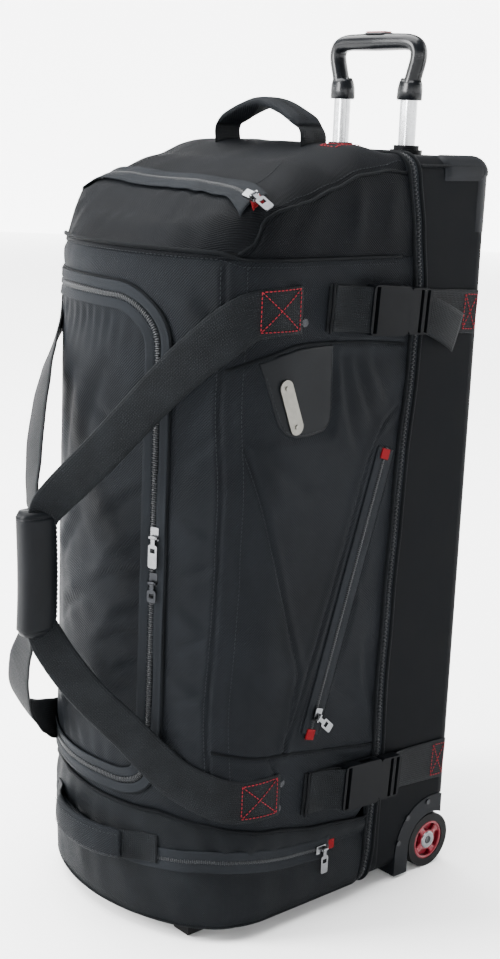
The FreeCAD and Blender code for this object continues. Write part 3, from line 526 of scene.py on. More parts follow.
def path_frames(path, up, closed=False):
    """Tangent and side direction at each point of a path; up is a vector or one for each point."""
    frames = []
    count = len(path)
    for i, point in enumerate(path):
        before = path[i - 1] if i or closed else point
        after = path[(i + 1) % count] if i < count - 1 or closed else point
        tangent = (after - before).normalized()
        lift = up[i] if isinstance(up, list) else up
        side = tangent.cross(lift)
        if side.length < 1e-6:
            side = tangent.cross(Vector((0.31, 0.87, 0.37)))
        side.normalize()
        frames.append((tangent, side, side.cross(tangent).normalized()))
    return frames


def sweep(path, up, section, closed=False, caps=True):
    """Points, faces and cloth coordinates of a section of (side, lift) points run along a path.

    The section may be a function of the step number for a section that changes."""
    frames = path_frames(path, up, closed)
    points, cloth = [], []
    travel = 0.0
    for i, (point, (_, side, lift)) in enumerate(zip(path, frames)):
        ring = section(i) if callable(section) else section
        around = 0.0
        for k, (a, b) in enumerate(ring):
            if k:
                around += math.hypot(a - ring[k - 1][0], b - ring[k - 1][1])
            points.append(point + side * a + lift * b)
            cloth.append((around, travel))
        if i < len(path) - 1:
            travel += (path[i + 1] - point).length
    size = len(ring)
    faces = []
    spans = len(path) if closed else len(path) - 1
    for i in range(spans):
        a, b = i * size, (i + 1) % len(path) * size
        for k in range(size):
            n = (k + 1) % size
            faces.append((a + k, a + n, b + n, b + k))
    if caps and not closed:
        faces.append(tuple(range(size - 1, -1, -1)))
        faces.append(tuple(range(len(path) * size - size, len(path) * size)))
    return points, faces, cloth


def merge_parts(parts):
    """Several (points, faces, cloth) as one."""
    points, faces, cloth = [], [], []
    for some, their_faces, their_cloth in parts:
        base = len(points)
        points += some
        faces += [tuple(i + base for i in face) for face in their_faces]
        cloth += their_cloth
    return points, faces, cloth


def circle(radius, count=8, squash=1.0):
    return [(radius * math.cos(2 * math.pi * k / count), radius * squash * math.sin(2 * math.pi * k / count))
            for k in range(count)]


def flat_section(width, depth, count=6, crown=0.0):
    """A strap's section, rounded at its edges, with an optional crown."""
    half = width / 2
    top = [(lerp(half, -half, k / count), depth * 0.5 + crown * (1 - (2 * k / count - 1) ** 2)) for k in range(count + 1)]
    low = [(x, -depth * 0.5 + z - depth * 0.5) for x, z in reversed(top)]
    return [(half + depth * 0.35, 0.0)] + top + [(-half - depth * 0.35, 0.0)] + low


def resample(points, pitch):
    """Points along a smooth curve through the given ones, evenly spaced."""
    fine = []
    ends = [points[0] * 2 - points[1]] + list(points) + [points[-1] * 2 - points[-2]]
    for i in range(len(points) - 1):
        p0, p1, p2, p3 = ends[i:i + 4]
        count = max(4, int((p2 - p1).length / (pitch * 0.4)))
        for k in range(count):
            t = k / count
            fine.append(0.5 * ((2 * p1) + (p2 - p0) * t + (2 * p0 - 5 * p1 + 4 * p2 - p3) * t * t
                               + (3 * p1 - p0 - 3 * p2 + p3) * t ** 3))
    fine.append(points[-1])
    total = sum((b - a).length for a, b in zip(fine, fine[1:]))
    count = max(2, round(total / pitch))
    out, travel, i = [fine[0]], 0.0, 0
    for k in range(1, count):
        goal = total * k / count
        while travel + (fine[i + 1] - fine[i]).length < goal:
            travel += (fine[i + 1] - fine[i]).length
            i += 1
        span = (fine[i + 1] - fine[i]).length
        out.append(fine[i].lerp(fine[i + 1], (goal - travel) / span))
    out.append(fine[-1])
    return out


def tube_piece(name, path, radius, finish, body="bag", closed=False, count=8, up=Vector((0.2, 0.1, 1))):
    """A round cord, such as piping, along a path."""
    points, faces, cloth = sweep(path, up, circle(radius, count), closed)
    return add_piece(name, points, faces, finish, body, cloth)


def stitch_parts(path, outward, length=3.2 * MM, gap=1.8 * MM, radius=0.42 * MM):
    """Separate thread stitches along a path; outward is the direction, or one for each point."""
    parts = []
    dense = resample(path, (length + gap) / 6)
    per = 6
    for start in range(0, len(dense) - 4, per):
        run = dense[start:start + 5]
        parts.append(sweep(run, outward, lambda i: circle(radius * (0.55 if i in (0, 4) else 1.0), 5), False))
    return parts


def stitches(name, paths, outward, finish, body="bag", **sizes):
    parts = []
    for path in paths:
        parts += stitch_parts(path, outward, **sizes)
    points, faces, cloth = merge_parts(parts)
    return add_piece(name, points, faces, finish, body, cloth)


def front_u(x):
    """Arc length of a point on the bowed front, from its x."""
    return BOW_R * math.asin(x / BOW_R)


def flat_strip(track, low, high, pitch=3 * MM, across=6):
    """Rows of (u, z, offset, travel) for a strip between two offsets from a (u, z) track."""
    line = resample([Vector((u, z, 0)) for u, z in track], pitch)
    rows, travel = [], 0.0
    for i, p in enumerate(line):
        before, after = line[max(0, i - 1)], line[min(len(line) - 1, i + 1)]
        run = (after - before).normalized()
        side = Vector((-run.y, run.x, 0))
        row = []
        for k in range(across + 1):
            offset = lerp(low, high, k / across)
            spot = p + side * offset
            row.append((spot.x, spot.y, offset, travel))
        rows.append(row)
        if i < len(line) - 1:
            travel += (line[i + 1] - p).length
    return rows


def strip_piece(name, track, low, high, lift, finish, depth=1.0 * MM, place=wall_point, across=6, body="bag",
                pitch=3 * MM):
    """A tape on the front body between two offsets from a track; lift is a number or lift(offset, travel)."""
    rows = flat_strip(track, low, high, pitch, across)
    points, cloth = [], []
    for row in rows:
        for u, z, offset, travel in row:
            points.append(place(u, z, lift(offset, travel) if callable(lift) else lift))
            cloth.append((offset, travel))
    faces = grid_faces(len(rows), across + 1)
    if high > low:
        faces = [tuple(reversed(face)) for face in faces]
    return thicken(add_piece(name, points, faces, finish, body, cloth), depth)


# ---------------------------------------------------------------- the front body's lines, in millimetres

def corner_u(x):
    """Arc length at which the front corner's arc passes x, all in millimetres."""
    turn = math.asin((x - CORNER_X / MM) / (CORNER_R / MM))
    return (BOW_LENGTH + CORNER_R * (turn - BOW_ANGLE)) / MM


def side_u(y):
    return at_side(y * MM) / MM


SEAM_U = corner_u(140)
SEAM_GAP = 27


def seam_wave(z):
    """Sideways wander of the front corner's two vertical seams."""
    return 2.2 * math.sin(z / 62) + 1.3 * math.sin(z / 27 + 1.0) + 2.5 * hump(z - 430, 45)


def zip_shift(z):
    """The front zipper's straight leg leans in a little at mid height."""
    return 5.0 * hump(z - 460, 140)


FLAP = (-142.0, 84.0, 178.0, 725.0)


def flap_depth(x, z):
    """Distance inside the front zipper's line, negative outside."""
    left, right, bottom, top = FLAP
    right -= zip_shift(z)
    bottom -= 3.5 * smooth(-x, 0, 80)
    cx, cz = (left + right) / 2, (bottom + top) / 2
    corner = 48 if x > cx else 4
    dx = abs(x - cx) - (right - left) / 2 + corner
    dz = abs(z - cz) - (top - bottom) / 2 + corner
    outside = math.hypot(max(dx, 0), max(dz, 0)) + min(max(dx, dz), 0) - corner
    return -outside


def crease(u, z, line):
    """A fold from one point to another: a groove with a softer ridge beside it."""
    u0, z0, u1, z1, width, depth = line
    run_u, run_z = u1 - u0, z1 - z0
    length = math.hypot(run_u, run_z)
    along = ((u - u0) * run_u + (z - z0) * run_z) / (length * length)
    if along < -0.15 or along > 1.15:
        return 0.0
    across = ((u - u0) * run_z - (z - z0) * run_u) / length
    if abs(across) > 5 * width:
        return 0.0
    bend = 0.18 * length * (along - along * along)
    across -= bend
    fade = smooth(along, -0.15, 0.25) * smooth(1.15 - along, 0, 0.45)
    return fade * depth * 1.5 * (0.75 * hump(across - 1.6 * width, 1.5 * width) - hump(across, width))


FLAP_CREASES = [
    (72, 520, 8, 478, 7, 2.6), (76, 470, 18, 430, 6, 2.2), (74, 432, -4, 402, 7, 3.0), (76, 396, 22, 360, 6, 2.6),
    (74, 362, 0, 330, 7, 2.6), (72, 330, 30, 306, 5, 2.0), (60, 560, -10, 600, 9, 2.2), (20, 660, -30, 560, 12, 2.4),
    (64, 300, 10, 262, 7, 2.2), (40, 250, -30, 300, 8, 2.0), (-50, 640, -78, 520, 10, 2.0), (-30, 470, -80, 410, 9, 2.4),
    (-20, 380, -82, 340, 8, 2.2), (70, 640, 40, 560, 8, 1.8), (-40, 250, -80, 220, 7, 1.6),
]
PANEL_CREASES = [
    (112, 560, 152, 592, 6, 1.5), (112, 500, 150, 478, 6, 1.4), (114, 430, 150, 446, 6, 1.6),
    (112, 400, 152, 372, 7, 1.8), (114, 352, 148, 366, 6, 1.6), (112, 320, 152, 296, 7, 1.8),
    (112, 290, 146, 300, 5, 1.5), (114, 250, 150, 232, 7, 1.8), (110, 214, 148, 196, 7, 1.6),
    (112, 650, 150, 690, 8, 1.4), (60, 752, 130, 738, 8, 1.2), (118, 740, 152, 700, 8, 1.3),
    (-126, 520, -150, 560, 7, 1.6), (-118, 400, -150, 372, 7, 1.6), (-118, 300, -150, 330, 7, 1.6),
    (-116, 640, -150, 600, 8, 1.4),
]
SIDE_CREASES = [
    (-86, 640, -55, 560, 7, 1.6), (-70, 655, -30, 590, 7, 1.4), (-60, 560, 0, 520, 9, 1.5), (40, 668, 70, 560, 7, 1.7),
    (60, 668, 92, 590, 6, 1.4), (84, 668, 118, 610, 7, 1.5), (-90, 470, -62, 400, 8, 1.3), (-80, 330, -40, 270, 8, 1.4),
    (30, 300, 90, 260, 8, 1.4), (60, 430, 100, 380, 9, 1.2), (-70, 760, -20, 742, 6, 1.6), (20, 756, 100, 740, 7, 1.5),
    (100, 330, 128, 230, 7, 1.4), (-88, 215, -50, 200, 6, 1.3), (40, 205, 110, 180, 7, 1.3),
]
SIDE_SEAMS = {
    "arch_upper": [(-112, 656), (-60, 673), (-25, 681), (40, 681), (100, 677), (136, 673)],
    "arch_lower": [(-112, 232), (-60, 221), (-22, 217), (40, 207), (100, 198), (136, 194)],
    "vee_front": [(-88, 574), (-66, 512), (-38, 412), (-5, 309), (-22, 219)],
    "vee_rear": [(128, 600), (108, 586), (87, 548), (60, 460), (28, 366), (0, 280), (-21, 222)],
    "panel_rear": [(-42, 217), (-30, 190), (-22, 160)],
}


def track_distance(y, z, track):
    best = 1e9
    for (y0, z0), (y1, z1) in zip(track, track[1:]):
        run_y, run_z = y1 - y0, z1 - z0
        t = clamp(((y - y0) * run_y + (z - z0) * run_z) / (run_y * run_y + run_z * run_z))
        best = min(best, math.hypot(y - y0 - t * run_y, z - z0 - t * run_z))
    return best


def zip_line(z):
    """y of the perimeter zipper down the bag's sides, in millimetres."""
    return through(z, [(14, 116), (60, 124), (184, 131), (280, 130), (372, 133), (470, 137), (550, 141), (650, 149),
                       (733, 153), (800, 145), (870, 131), (884, 129)])


POCKET_TRACK = [(16, 234), (114, 556)]


def side_lift(y, z, hand):
    """How far the side panel's cloth stands proud."""
    puff = 3.0 * smooth(z, 235, 330) * smooth(670 - z, 0, 70) * smooth(y, -95, -50) * smooth(zip_line(z) - y, 4, 45)
    lift = 0.8 + puff
    lift += 1.6 * hump(z - 640, 26) * smooth(y, -90, -40)
    for line in SIDE_CREASES:
        lift += crease(y, z, line)
    for track in SIDE_SEAMS.values():
        near = track_distance(y, z, track)
        if near < 14:
            lift += 1.0 * hump(near - 6, 5) - 2.0 * hump(near, 2.0)
    lift -= 1.2 * hump(z - 716, 26) * smooth(y, -95, -60) - 0.6 * hump(z - 757, 9)
    lift += 0.9 * soft_noise(y, z, 3 + hand, 46) + 0.35 * soft_noise(y, z, 5 + hand, 17)
    if hand == 1:
        lift = lerp(lift, 0.1, smooth(y, -92, -80) * smooth(34 - y, 0, 8) * smooth(z, 572, 584) * smooth(694 - z, 0, 10))
        lift = lerp(lift, 2.4, smooth(22 - track_distance(y, z, POCKET_TRACK), 0, 8))
    lift = lerp(lift, min(lift, 0.4), smooth(30 - abs(z - 716), 0, 6) + smooth(30 - abs(z - 157), 0, 6))
    return lerp(lift, max(lift, 0.7), smooth(y, 132, 140))


def front_lift(u, z):
    """How far the cloth stands proud on the front, outside the flap."""
    x = math.sin(clamp(u, -170, 170) / (BOW_R / MM)) * BOW_R / MM
    inside = flap_depth(x, z)
    lift = 1.4 + 1.8 * hump(inside + 34, 18)
    for line in PANEL_CREASES:
        lift += crease(u, z, line)
    lift = lerp(lift, -5.0, smooth(inside, -2, 8))
    for hand in (1, -1):
        for gap in (0, SEAM_GAP):
            away = abs(u * hand - SEAM_U - gap - seam_wave(z))
            if away < 14:
                lift += 1.1 * hump(away - 6, 4.5) - 2.3 * hump(away, 2.0)
    return lift + 0.8 * soft_noise(u, z, 11, 40) + 0.3 * soft_noise(u, z, 13, 15)


def tub_line(u):
    """Height of the piping between the lower and the main compartment."""
    away = abs(u)
    return through(away, [(0, 149), (60, 150), (94, 152), (SEAM_U, 144), (side_u(-85), 137), (side_u(-41), 128),
                          (side_u(40), 112), (side_u(115), 103), (side_u(136), 122)])


def main_lift(u, z):
    side = smooth(abs(u), SEAM_U, SEAM_U + SEAM_GAP + 10)
    lift = 0.0
    if side < 1:
        lift += (1 - side) * front_lift(u, z)
    if side > 0:
        y = abs(u) - SIDE_START / MM + CORNER_Y / MM
        lift += side * side_lift(y, z, 1 if u > 0 else 2)
    low = tub_line(u)
    ends = smooth(z, low, low + 12) * smooth(772 - z, 0, 12)
    belts = 0.8 * hump(z - 196, 18) + 0.8 * hump(z - 750, 14)
    return lift * ends + belts


def body_point(u, z, lift=0.0):
    """A point on the front body's cloth, in metres from millimetres."""
    return wall_point(u * MM, z * MM, (main_lift(u, z) + lift) * MM)


def side_end(z):
    return side_u(zip_line(z) - 7)


def make_main_fabric():
    rows, count = 200, 272
    points, cloth = [], []
    for i in range(count + 1):
        c = i / count * 2 - 1
        for k in range(rows + 1):
            z = lerp(tub_line(c * side_u(136)), 771.8, k / rows)
            u = c * side_end(z)
            points.append(body_point(u, z))
            cloth.append((u * MM, z * MM))
    obj = add_piece("main_fabric", points, grid_faces(count + 1, rows + 1), "fabric", "bag", cloth)
    thicken(obj, 2.2 * MM)
    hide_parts("main_compartment")


def x_to_u(x):
    return front_u(x * MM) / MM


def flap_lift(x, z):
    inside = flap_depth(x, z)
    lift = 0.6 + 3.6 * smooth(inside, 0, 18) + 4.5 * smooth(inside, 14, 80)
    for line in FLAP_CREASES:
        lift += crease(x, z, line)
    gathers = smooth(z, 640, 712) * smooth(inside, 10, 26)
    folds = math.sin(x / 2.6 + 2.5 * soft_noise(x, z, 21, 60)) * (0.6 + 0.6 * soft_noise(x, z, 23, 30))
    lift += gathers * 1.5 * folds
    low = smooth(250 - z, 0, 60) * smooth(inside, 10, 26)
    lift += low * 0.9 * math.sin(x / 4.1 + 1.3 + 2.0 * soft_noise(x, z, 25, 50))
    lift += smooth(inside, 12, 40) * (2.6 * soft_noise(x, z, 27, 75) + 1.2 * soft_noise(x + z * 0.4, z, 29, 28))
    return lift


def make_front_flap():
    xs, zs = steps(-142, 84, 2.4), steps(172, 725, 2.8)
    kept = {}
    points, cloth, faces = [], [], []
    for i, x in enumerate(xs):
        for j, z in enumerate(zs):
            if flap_depth(x, z) > -1:
                kept[i, j] = len(points)
                points.append(wall_point(x_to_u(x) * MM, z * MM, flap_lift(x, z) * MM))
                cloth.append((x * MM, z * MM))
    for i, j in list(kept):
        corners = [(i, j), (i + 1, j), (i + 1, j + 1), (i, j + 1)]
        if all(corner in kept for corner in corners):
            faces.append(tuple(kept[corner] for corner in corners))
    obj = add_piece("front_flap_fabric", points, faces, "fabric", "bag", cloth)
    thicken(obj, 2.0 * MM)
    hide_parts("front_flap")


ZIP_TRACK = [(-141, 723), (-118, 724.5), (-60, 725), (0, 725), (36, 723), (62, 709), (76, 690), (79.6, 664),
             (79.3, 636), (79.3, 560), (79.3, 500), (79.3, 440), (79.3, 380), (79.3, 320),
             (79.3, 250), (78.4, 218), (70, 191),
             (48, 179.5), (10, 177), (-40, 175), (-96, 174.5), (-141, 176)]


def make_front_zipper():
    track = [(x_to_u(x) * MM, z * MM) for x, z in ZIP_TRACK]

    def outer(offset, travel):
        away = offset / MM
        return (4.3 - 0.6 * smooth(away, 6, 14) + 0.5 * hump(away - 14, 1.5) - 1.2 * hump(away - 4, 1.5)
                + 0.35 * math.sin(travel / MM / 21)) * MM

    def inner(offset, travel):
        away = -offset / MM
        return (4.4 + 1.1 * smooth(away, 6, 14) - 1.2 * hump(away - 4, 1.5)
                + 0.15 * math.sin(travel / MM / 17 + 1)) * MM

    strip_piece("front_zip_tape_outer", track, 3.4 * MM, 15 * MM, outer, "tape", 1.6 * MM, across=9)
    strip_piece("front_zip_tape_inner", track, -3.4 * MM, -14.5 * MM, inner, "tape", 1.6 * MM, across=9)
    points, faces, cloth = merge_parts(curved_coil(track, 4.1 * MM, width=7.6 * MM, pitch=2.5 * MM))
    strip_piece("front_zip_bed", track, -4.6 * MM, 4.6 * MM, 3.6 * MM, "binding", 1.2 * MM, across=4)
    coil = add_piece("front_zip_coil", points, faces, "coil", "bag", cloth)
    edge_rows = flat_strip(track, 15.8 * MM, 15.8 * MM, 3 * MM, 1)
    edge = [wall_point(row[0][0], row[0][1], 3.4 * MM) for row in edge_rows]
    tube_piece("front_zip_piping", edge, 1.7 * MM, "binding")
    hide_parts("front_zipper")
    hinge = [wall_point(x_to_u(-142.5) * MM, z * MM, (3.6 + 0.4 * math.sin(z / 23)) * MM) for z in steps(158, 741, 5)]
    tube_piece("flap_hinge_piping", hinge, 2.6 * MM, "binding")
    threads = []
    for offset, lift in ((12.8, 4.5), (6.6, 4.7), (-6.6, 4.9), (-12.6, 5.9)):
        rows = flat_strip(track, offset * MM, offset * MM, 3 * MM, 1)
        threads.append([wall_point(row[0][0], row[0][1], lift * MM) for row in rows])
    stitches("front_zip_stitching", threads, Vector((0, -1, 0.1)), "dark_thread")


def curved_coil(track, lift, width=5.0 * MM, pitch=2.3 * MM, rise=1.3 * MM, place=wall_point):
    """Interlocking coil teeth along a (u, z) track on the front body."""
    flat = resample([Vector((u, z, 0)) for u, z in track], pitch)
    parts = []
    for i, spot in enumerate(flat):
        before, after = flat[max(0, i - 1)], flat[min(len(flat) - 1, i + 1)]
        run = (after - before).normalized()
        side = Vector((-run.y, run.x, 0))
        shift = 0.05 * width * (1 if i % 2 else -1)
        ends = []
        for across, high in ((-0.5, 0.0), (-0.25, 0.9), (0.25, 0.9), (0.5, 0.0)):
            p = spot + side * (across * width * 0.8 + shift)
            ends.append(place(p.x, p.y, lift + high * rise))
        parts.append(sweep(ends, Vector((0.05, 0.02, 1)) if abs(run.y) > 0.7 else Vector((1, 0.2, 0.05)),
                           circle(pitch * 0.42, 5)))
    return parts


make_main_fabric()
make_front_flap()
make_front_zipper()

for hand in (1, -1):
    label = "right" if hand > 0 else "left"
    seams = []
    for gap in (-3.0, SEAM_GAP - 3.0):
        seams.append([body_point(hand * (SEAM_U + gap + seam_wave(z)), z, 0.35) for z in steps(158, 766, 7)])
    for key in ("vee_front", "vee_rear"):
        track = [(y - 3.0, z) for y, z in SIDE_SEAMS[key]]
        dense = resample([Vector((y, z, 0)) for y, z in track], 6)
        seams.append([body_point(hand * side_u(p.x), p.y, 0.35) for p in dense])
    stitches(f"body_seam_stitching_{label}", seams, Vector((hand, -0.2, 0.05)), "dark_thread")
    for key in ("arch_upper", "arch_lower"):
        dense = resample([Vector((y, z, 0)) for y, z in SIDE_SEAMS[key]], 5)
        tube_piece(f"{key}_piping_{label}", [body_point(hand * side_u(p.x), p.y, 0.9) for p in dense], 1.9 * MM,
                   "binding")

# ---------------------------------------------------------------- lower compartment

def lower_zip_level(u):
    return through(abs(u), [(0, 95), (70, 96), (120, 99), (SEAM_U, 102), (side_u(-80), 100), (side_u(0), 88),
                            (side_u(46), 84), (side_u(130), 82)])


def tub_lift(u, z):
    away = abs(u)
    top, middle = tub_line(u), lower_zip_level(u)
    upper = clamp((z - middle) / (top - middle)) if z > middle else 0.0
    lower = clamp((middle - z) / (middle - 16)) if z < middle else 0.0
    lift = 1.0 + 3.4 * math.sin(math.pi * upper) + 2.6 * math.sin(math.pi * min(1, lower * 0.9))
    folds = 0.35 + 0.9 * hump(away - SEAM_U - 25, 55) + 0.4 * hump(away, 60)
    lift += folds * math.sin(math.pi * upper) * math.sin(u / 5.2 + 2.2 * soft_noise(u, z, 41, 60)) * 1.1
    lift += 0.8 * folds * math.sin(math.pi * min(1, lower)) * math.sin(u / 8.5 + 3 * soft_noise(u, z, 43, 70))
    return lift + 1.4 * soft_noise(u, z, 45, 60) + 0.5 * soft_noise(u, z, 47, 20) - 1.0 * hump(z - middle, 8)


def tub_point(u, z, lift=0.0):
    return wall_point(u * MM, z * MM, (tub_lift(u, z) + lift) * MM)


def make_tub():
    count, fold = 250, 16.0
    base = FLOOR_EDGE / MM
    points, cloth = [], []
    rows = 0
    for i in range(count + 1):
        c = i / count * 2 - 1
        column = []
        for k in range(45):
            t = k / 44
            u = c * side_end(lerp(140, base + fold, t))
            z = lerp(tub_line(u), base + fold, t)
            column.append((tub_point(u, z), u, z))
        foot_u = c * side_end(base)
        for k in range(1, 7):
            turn = k / 6 * math.pi / 2
            lift = tub_lift(foot_u, base + fold) - fold * (1 - math.cos(turn))
            p = wall_point(foot_u * MM, (base + fold - fold * math.sin(turn)) * MM, lift * MM)
            column.append((p, foot_u, base - 10 * turn))
        last = column[-1][0]
        for k in range(1, 8):
            p = Vector((last.x * (1 - k / 7), last.y, last.z))
            column.append((p, foot_u * (1 - k / 7), -30 - 20 * k))
        rows = len(column)
        points += [item[0] for item in column]
        cloth += [(item[1] * MM, item[2] * MM) for item in column]
    faces = [tuple(reversed(face)) for face in grid_faces(count + 1, rows)]
    obj = add_piece("lower_fabric", points, faces, "ripstop", "bag", cloth)
    thicken(obj, 2.0 * MM)
    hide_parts("lower_compartment")


def make_tub_details():
    line = [tub_point(u, tub_line(u), 1.2) for u in steps(-side_u(118), side_u(118), 5)]
    tube_piece("tub_piping", line, 2.3 * MM, "binding")
    for level, label in ((20.0, "tub_base_piping"),):
        low = [wall_point(u * MM, level * MM, 0.4 * MM) for u in steps(-side_u(104), side_u(104), 5)]
        tube_piece(label, low, 2.0 * MM, "binding")
    start, end = -side_u(60), side_u(56)
    track = [(u * MM, lower_zip_level(u) * MM) for u in steps(start, end, 12)]

    def lift(offset, travel):
        away = abs(offset) / MM
        return (3.0 + 0.5 * hump(away - 12, 2) - 0.8 * hump(away, 3)) * MM

    strip_piece("lower_zip_tape", track, -13 * MM, 13 * MM, lift, "tape", 1.4 * MM, across=12)
    points, faces, cloth = merge_parts(curved_coil(track, 3.0 * MM))
    add_piece("lower_zip_coil", points, faces, "coil", "bag", cloth)
    threads = []
    for offset in (-10.5, -5.5, 5.5, 10.5):
        rows = flat_strip(track, offset * MM, offset * MM, 4 * MM, 1)
        threads.append([wall_point(row[0][0], row[0][1], 3.3 * MM) for row in rows])
    stitches("lower_zip_stitching", threads, Vector((0.3, -1, 0.1)), "dark_thread")


make_tub()
make_tub_details()

# ---------------------------------------------------------------- top cap

CAP_MIDDLE = [(-155, 779), (-120, 805), (-82, 833), (-65, 843), (0, 870), (66, 889.5), (110, 890.5), (141, 882)]
CAP_EDGE = [(-97, 773), (-91, 791), (-82, 812), (-52, 823), (-26, 829), (15, 845), (51, 859), (111, 866), (141, 862)]

CAP_RIM = [(148, 776), (156, 785), (158, 793), (160.7, 812), (167, 823), (168, 826)]


def front_y(x):
    """y of the plan outline at x, in millimetres."""
    x = min(abs(x), HALF / MM)
    join = CORNER_X / MM + CORNER_R / MM * math.sin(BOW_ANGLE)
    if x < join:
        return BOW_Y / MM - math.sqrt((BOW_R / MM) ** 2 - x * x)
    return CORNER_Y / MM - math.sqrt(max(0.0, (CORNER_R / MM) ** 2 - (x - CORNER_X / MM) ** 2))


def ring_height(x):
    """Top of the case's front view at x."""
    round_off = max(0.0, abs(x) - HALF / MM + 20)
    return SHELL_TOP / MM - 20 + math.sqrt(max(0.0, 400 - round_off ** 2))


def cap_height(x, y):
    share = min(1.0, abs(x) / (HALF / MM)) ** 8
    z = lerp(through(y, CAP_MIDDLE), through(y, CAP_EDGE), share)
    roll = clamp((y - front_y(x)) / lerp(24, 11, smooth(abs(x), 110, 148)))
    rim = through(abs(x), CAP_RIM)
    z = rim + (z - rim) * (1 - (1 - roll) ** 2)
    slope = smooth(y, -150, -125) * smooth(-78 - y, 0, 10)
    z += slope * 1.1 * math.sin(x / 5.6 + 2.5 * soft_noise(x, y, 51, 50)) * (0.5 + soft_noise(x, y, 53, 40))
    z += (1.6 * soft_noise(x, y, 55, 70) + 0.6 * soft_noise(x, y, 57, 24)) * smooth(118 - y, 0, 12)
    z = lerp(z, ring_height(x) + 1.8, smooth(y, 88, 119))
    dome = smooth(y, -58, -40) * smooth(118 - y, 0, 20)
    z += dome * (1.2 * math.sin((y + 0.4 * abs(x)) / 17) * hump(abs(x) - 140, 26))
    return z + 1.6 * hump(y + 110, 28) * (1 - share)


def cap_point(x, y, lift=0.0):
    """A point on the top cap's cloth, lifted along its slope's normal, in metres."""
    step = 1.5
    z = cap_height(x, y)
    slope_x = (cap_height(x + step, y) - cap_height(x - step, y)) / (2 * step)
    slope_y = (cap_height(x, y + step) - cap_height(x, y - step)) / (2 * step)
    normal = Vector((-slope_x, -slope_y, 1)).normalized()
    return (Vector((x, y, z)) + normal * lift) * MM


def gusset_lift(y, t):
    belly = math.sin(math.pi * clamp(t))
    folds = 1.3 * math.sin(y / 9.5 + 2 * soft_noise(y, t * 60, 61, 40)) * belly
    return 1.2 + 2.6 * belly + folds + 1.2 * soft_noise(y, t * 80, 63, 40)


def gusset_top(u):
    """Height of the cap's side edge at arc length u."""
    x, y = outline(u * MM)[0].x / MM, outline(u * MM)[0].y / MM
    return through(x, CAP_RIM) if u * MM < SIDE_START else cap_height(168, y)


def make_cap():
    us = steps(-SIDE_START / MM, SIDE_START / MM, 3.0)
    rear = 127.0
    depth = 84
    points, cloth = [], []
    for u in us:
        p, _ = outline(u * MM)
        x, y0 = p.x / MM, p.y / MM
        rim = through(abs(x), CAP_RIM)
        for z in (rim - 4.6, rim - 2.2, rim + 0.2):
            points.append(wall_point(u * MM, z * MM, (1.2 + (rim - z) * 0.1) * MM))
            cloth.append((u * MM, z * MM))
        for k in range(depth + 1):
            t = k / depth
            y = lerp(y0 + 0.3, rear, t ** 1.15)
            points.append(Vector((x, y, cap_height(x, y))) * MM)
            cloth.append((x * MM, (y + cap_height(x, y)) * MM))
    top = add_piece("cap_fabric", points, grid_faces(len(us), depth + 4), "cap", "bag", cloth)
    thicken(top, 2.0 * MM)
    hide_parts("top_cap")
    for hand in (1, -1):
        label = "right" if hand > 0 else "left"
        start = corner_u(150)
        count = 82
        side_points, side_cloth = [], []
        for i in range(count + 1):
            c = i / count
            for k in range(27):
                t = k / 26
                z = lerp(771.4, gusset_top(lerp(start, side_u(128), c)), t)
                u = lerp(start, side_u(zip_line(z) - 5), c)
                lift = gusset_lift(u, t) * smooth(c, 0, 0.08) * (1 if t < 0.97 else 0.4)
                side_points.append(wall_point(hand * u * MM, z * MM, lift * MM))
                side_cloth.append((u * MM, z * MM))
        faces = grid_faces(count + 1, 27)
        if hand < 0:
            faces = [tuple(reversed(face)) for face in faces]
        gusset = add_piece(f"cap_gusset_{label}", side_points, faces, "cap", "bag", side_cloth)
        thicken(gusset, 1.8 * MM)
        edge = [wall_point(hand * u * MM, (gusset_top(u) + 0.4) * MM, 0.6 * MM)
                for u in steps(corner_u(148), side_u(122), 4)]
        tube_piece(f"cap_edge_piping_{label}", edge, 2.0 * MM, "binding")
        threads = [[Vector((hand * 163.5, y, cap_height(163.5, y) + 0.5)) * MM for y in steps(-50, 120, 6)]]
        inner = resample([Vector((hand * x, y, 0)) for x, y in ((112, -66), (118, -50), (117, -28), (108, -6))], 4)
        threads.append([cap_point(p.x, p.y, 0.4) for p in inner])
        stitches(f"cap_stitching_{label}", threads, Vector((0, 0, 1)), "dark_thread")


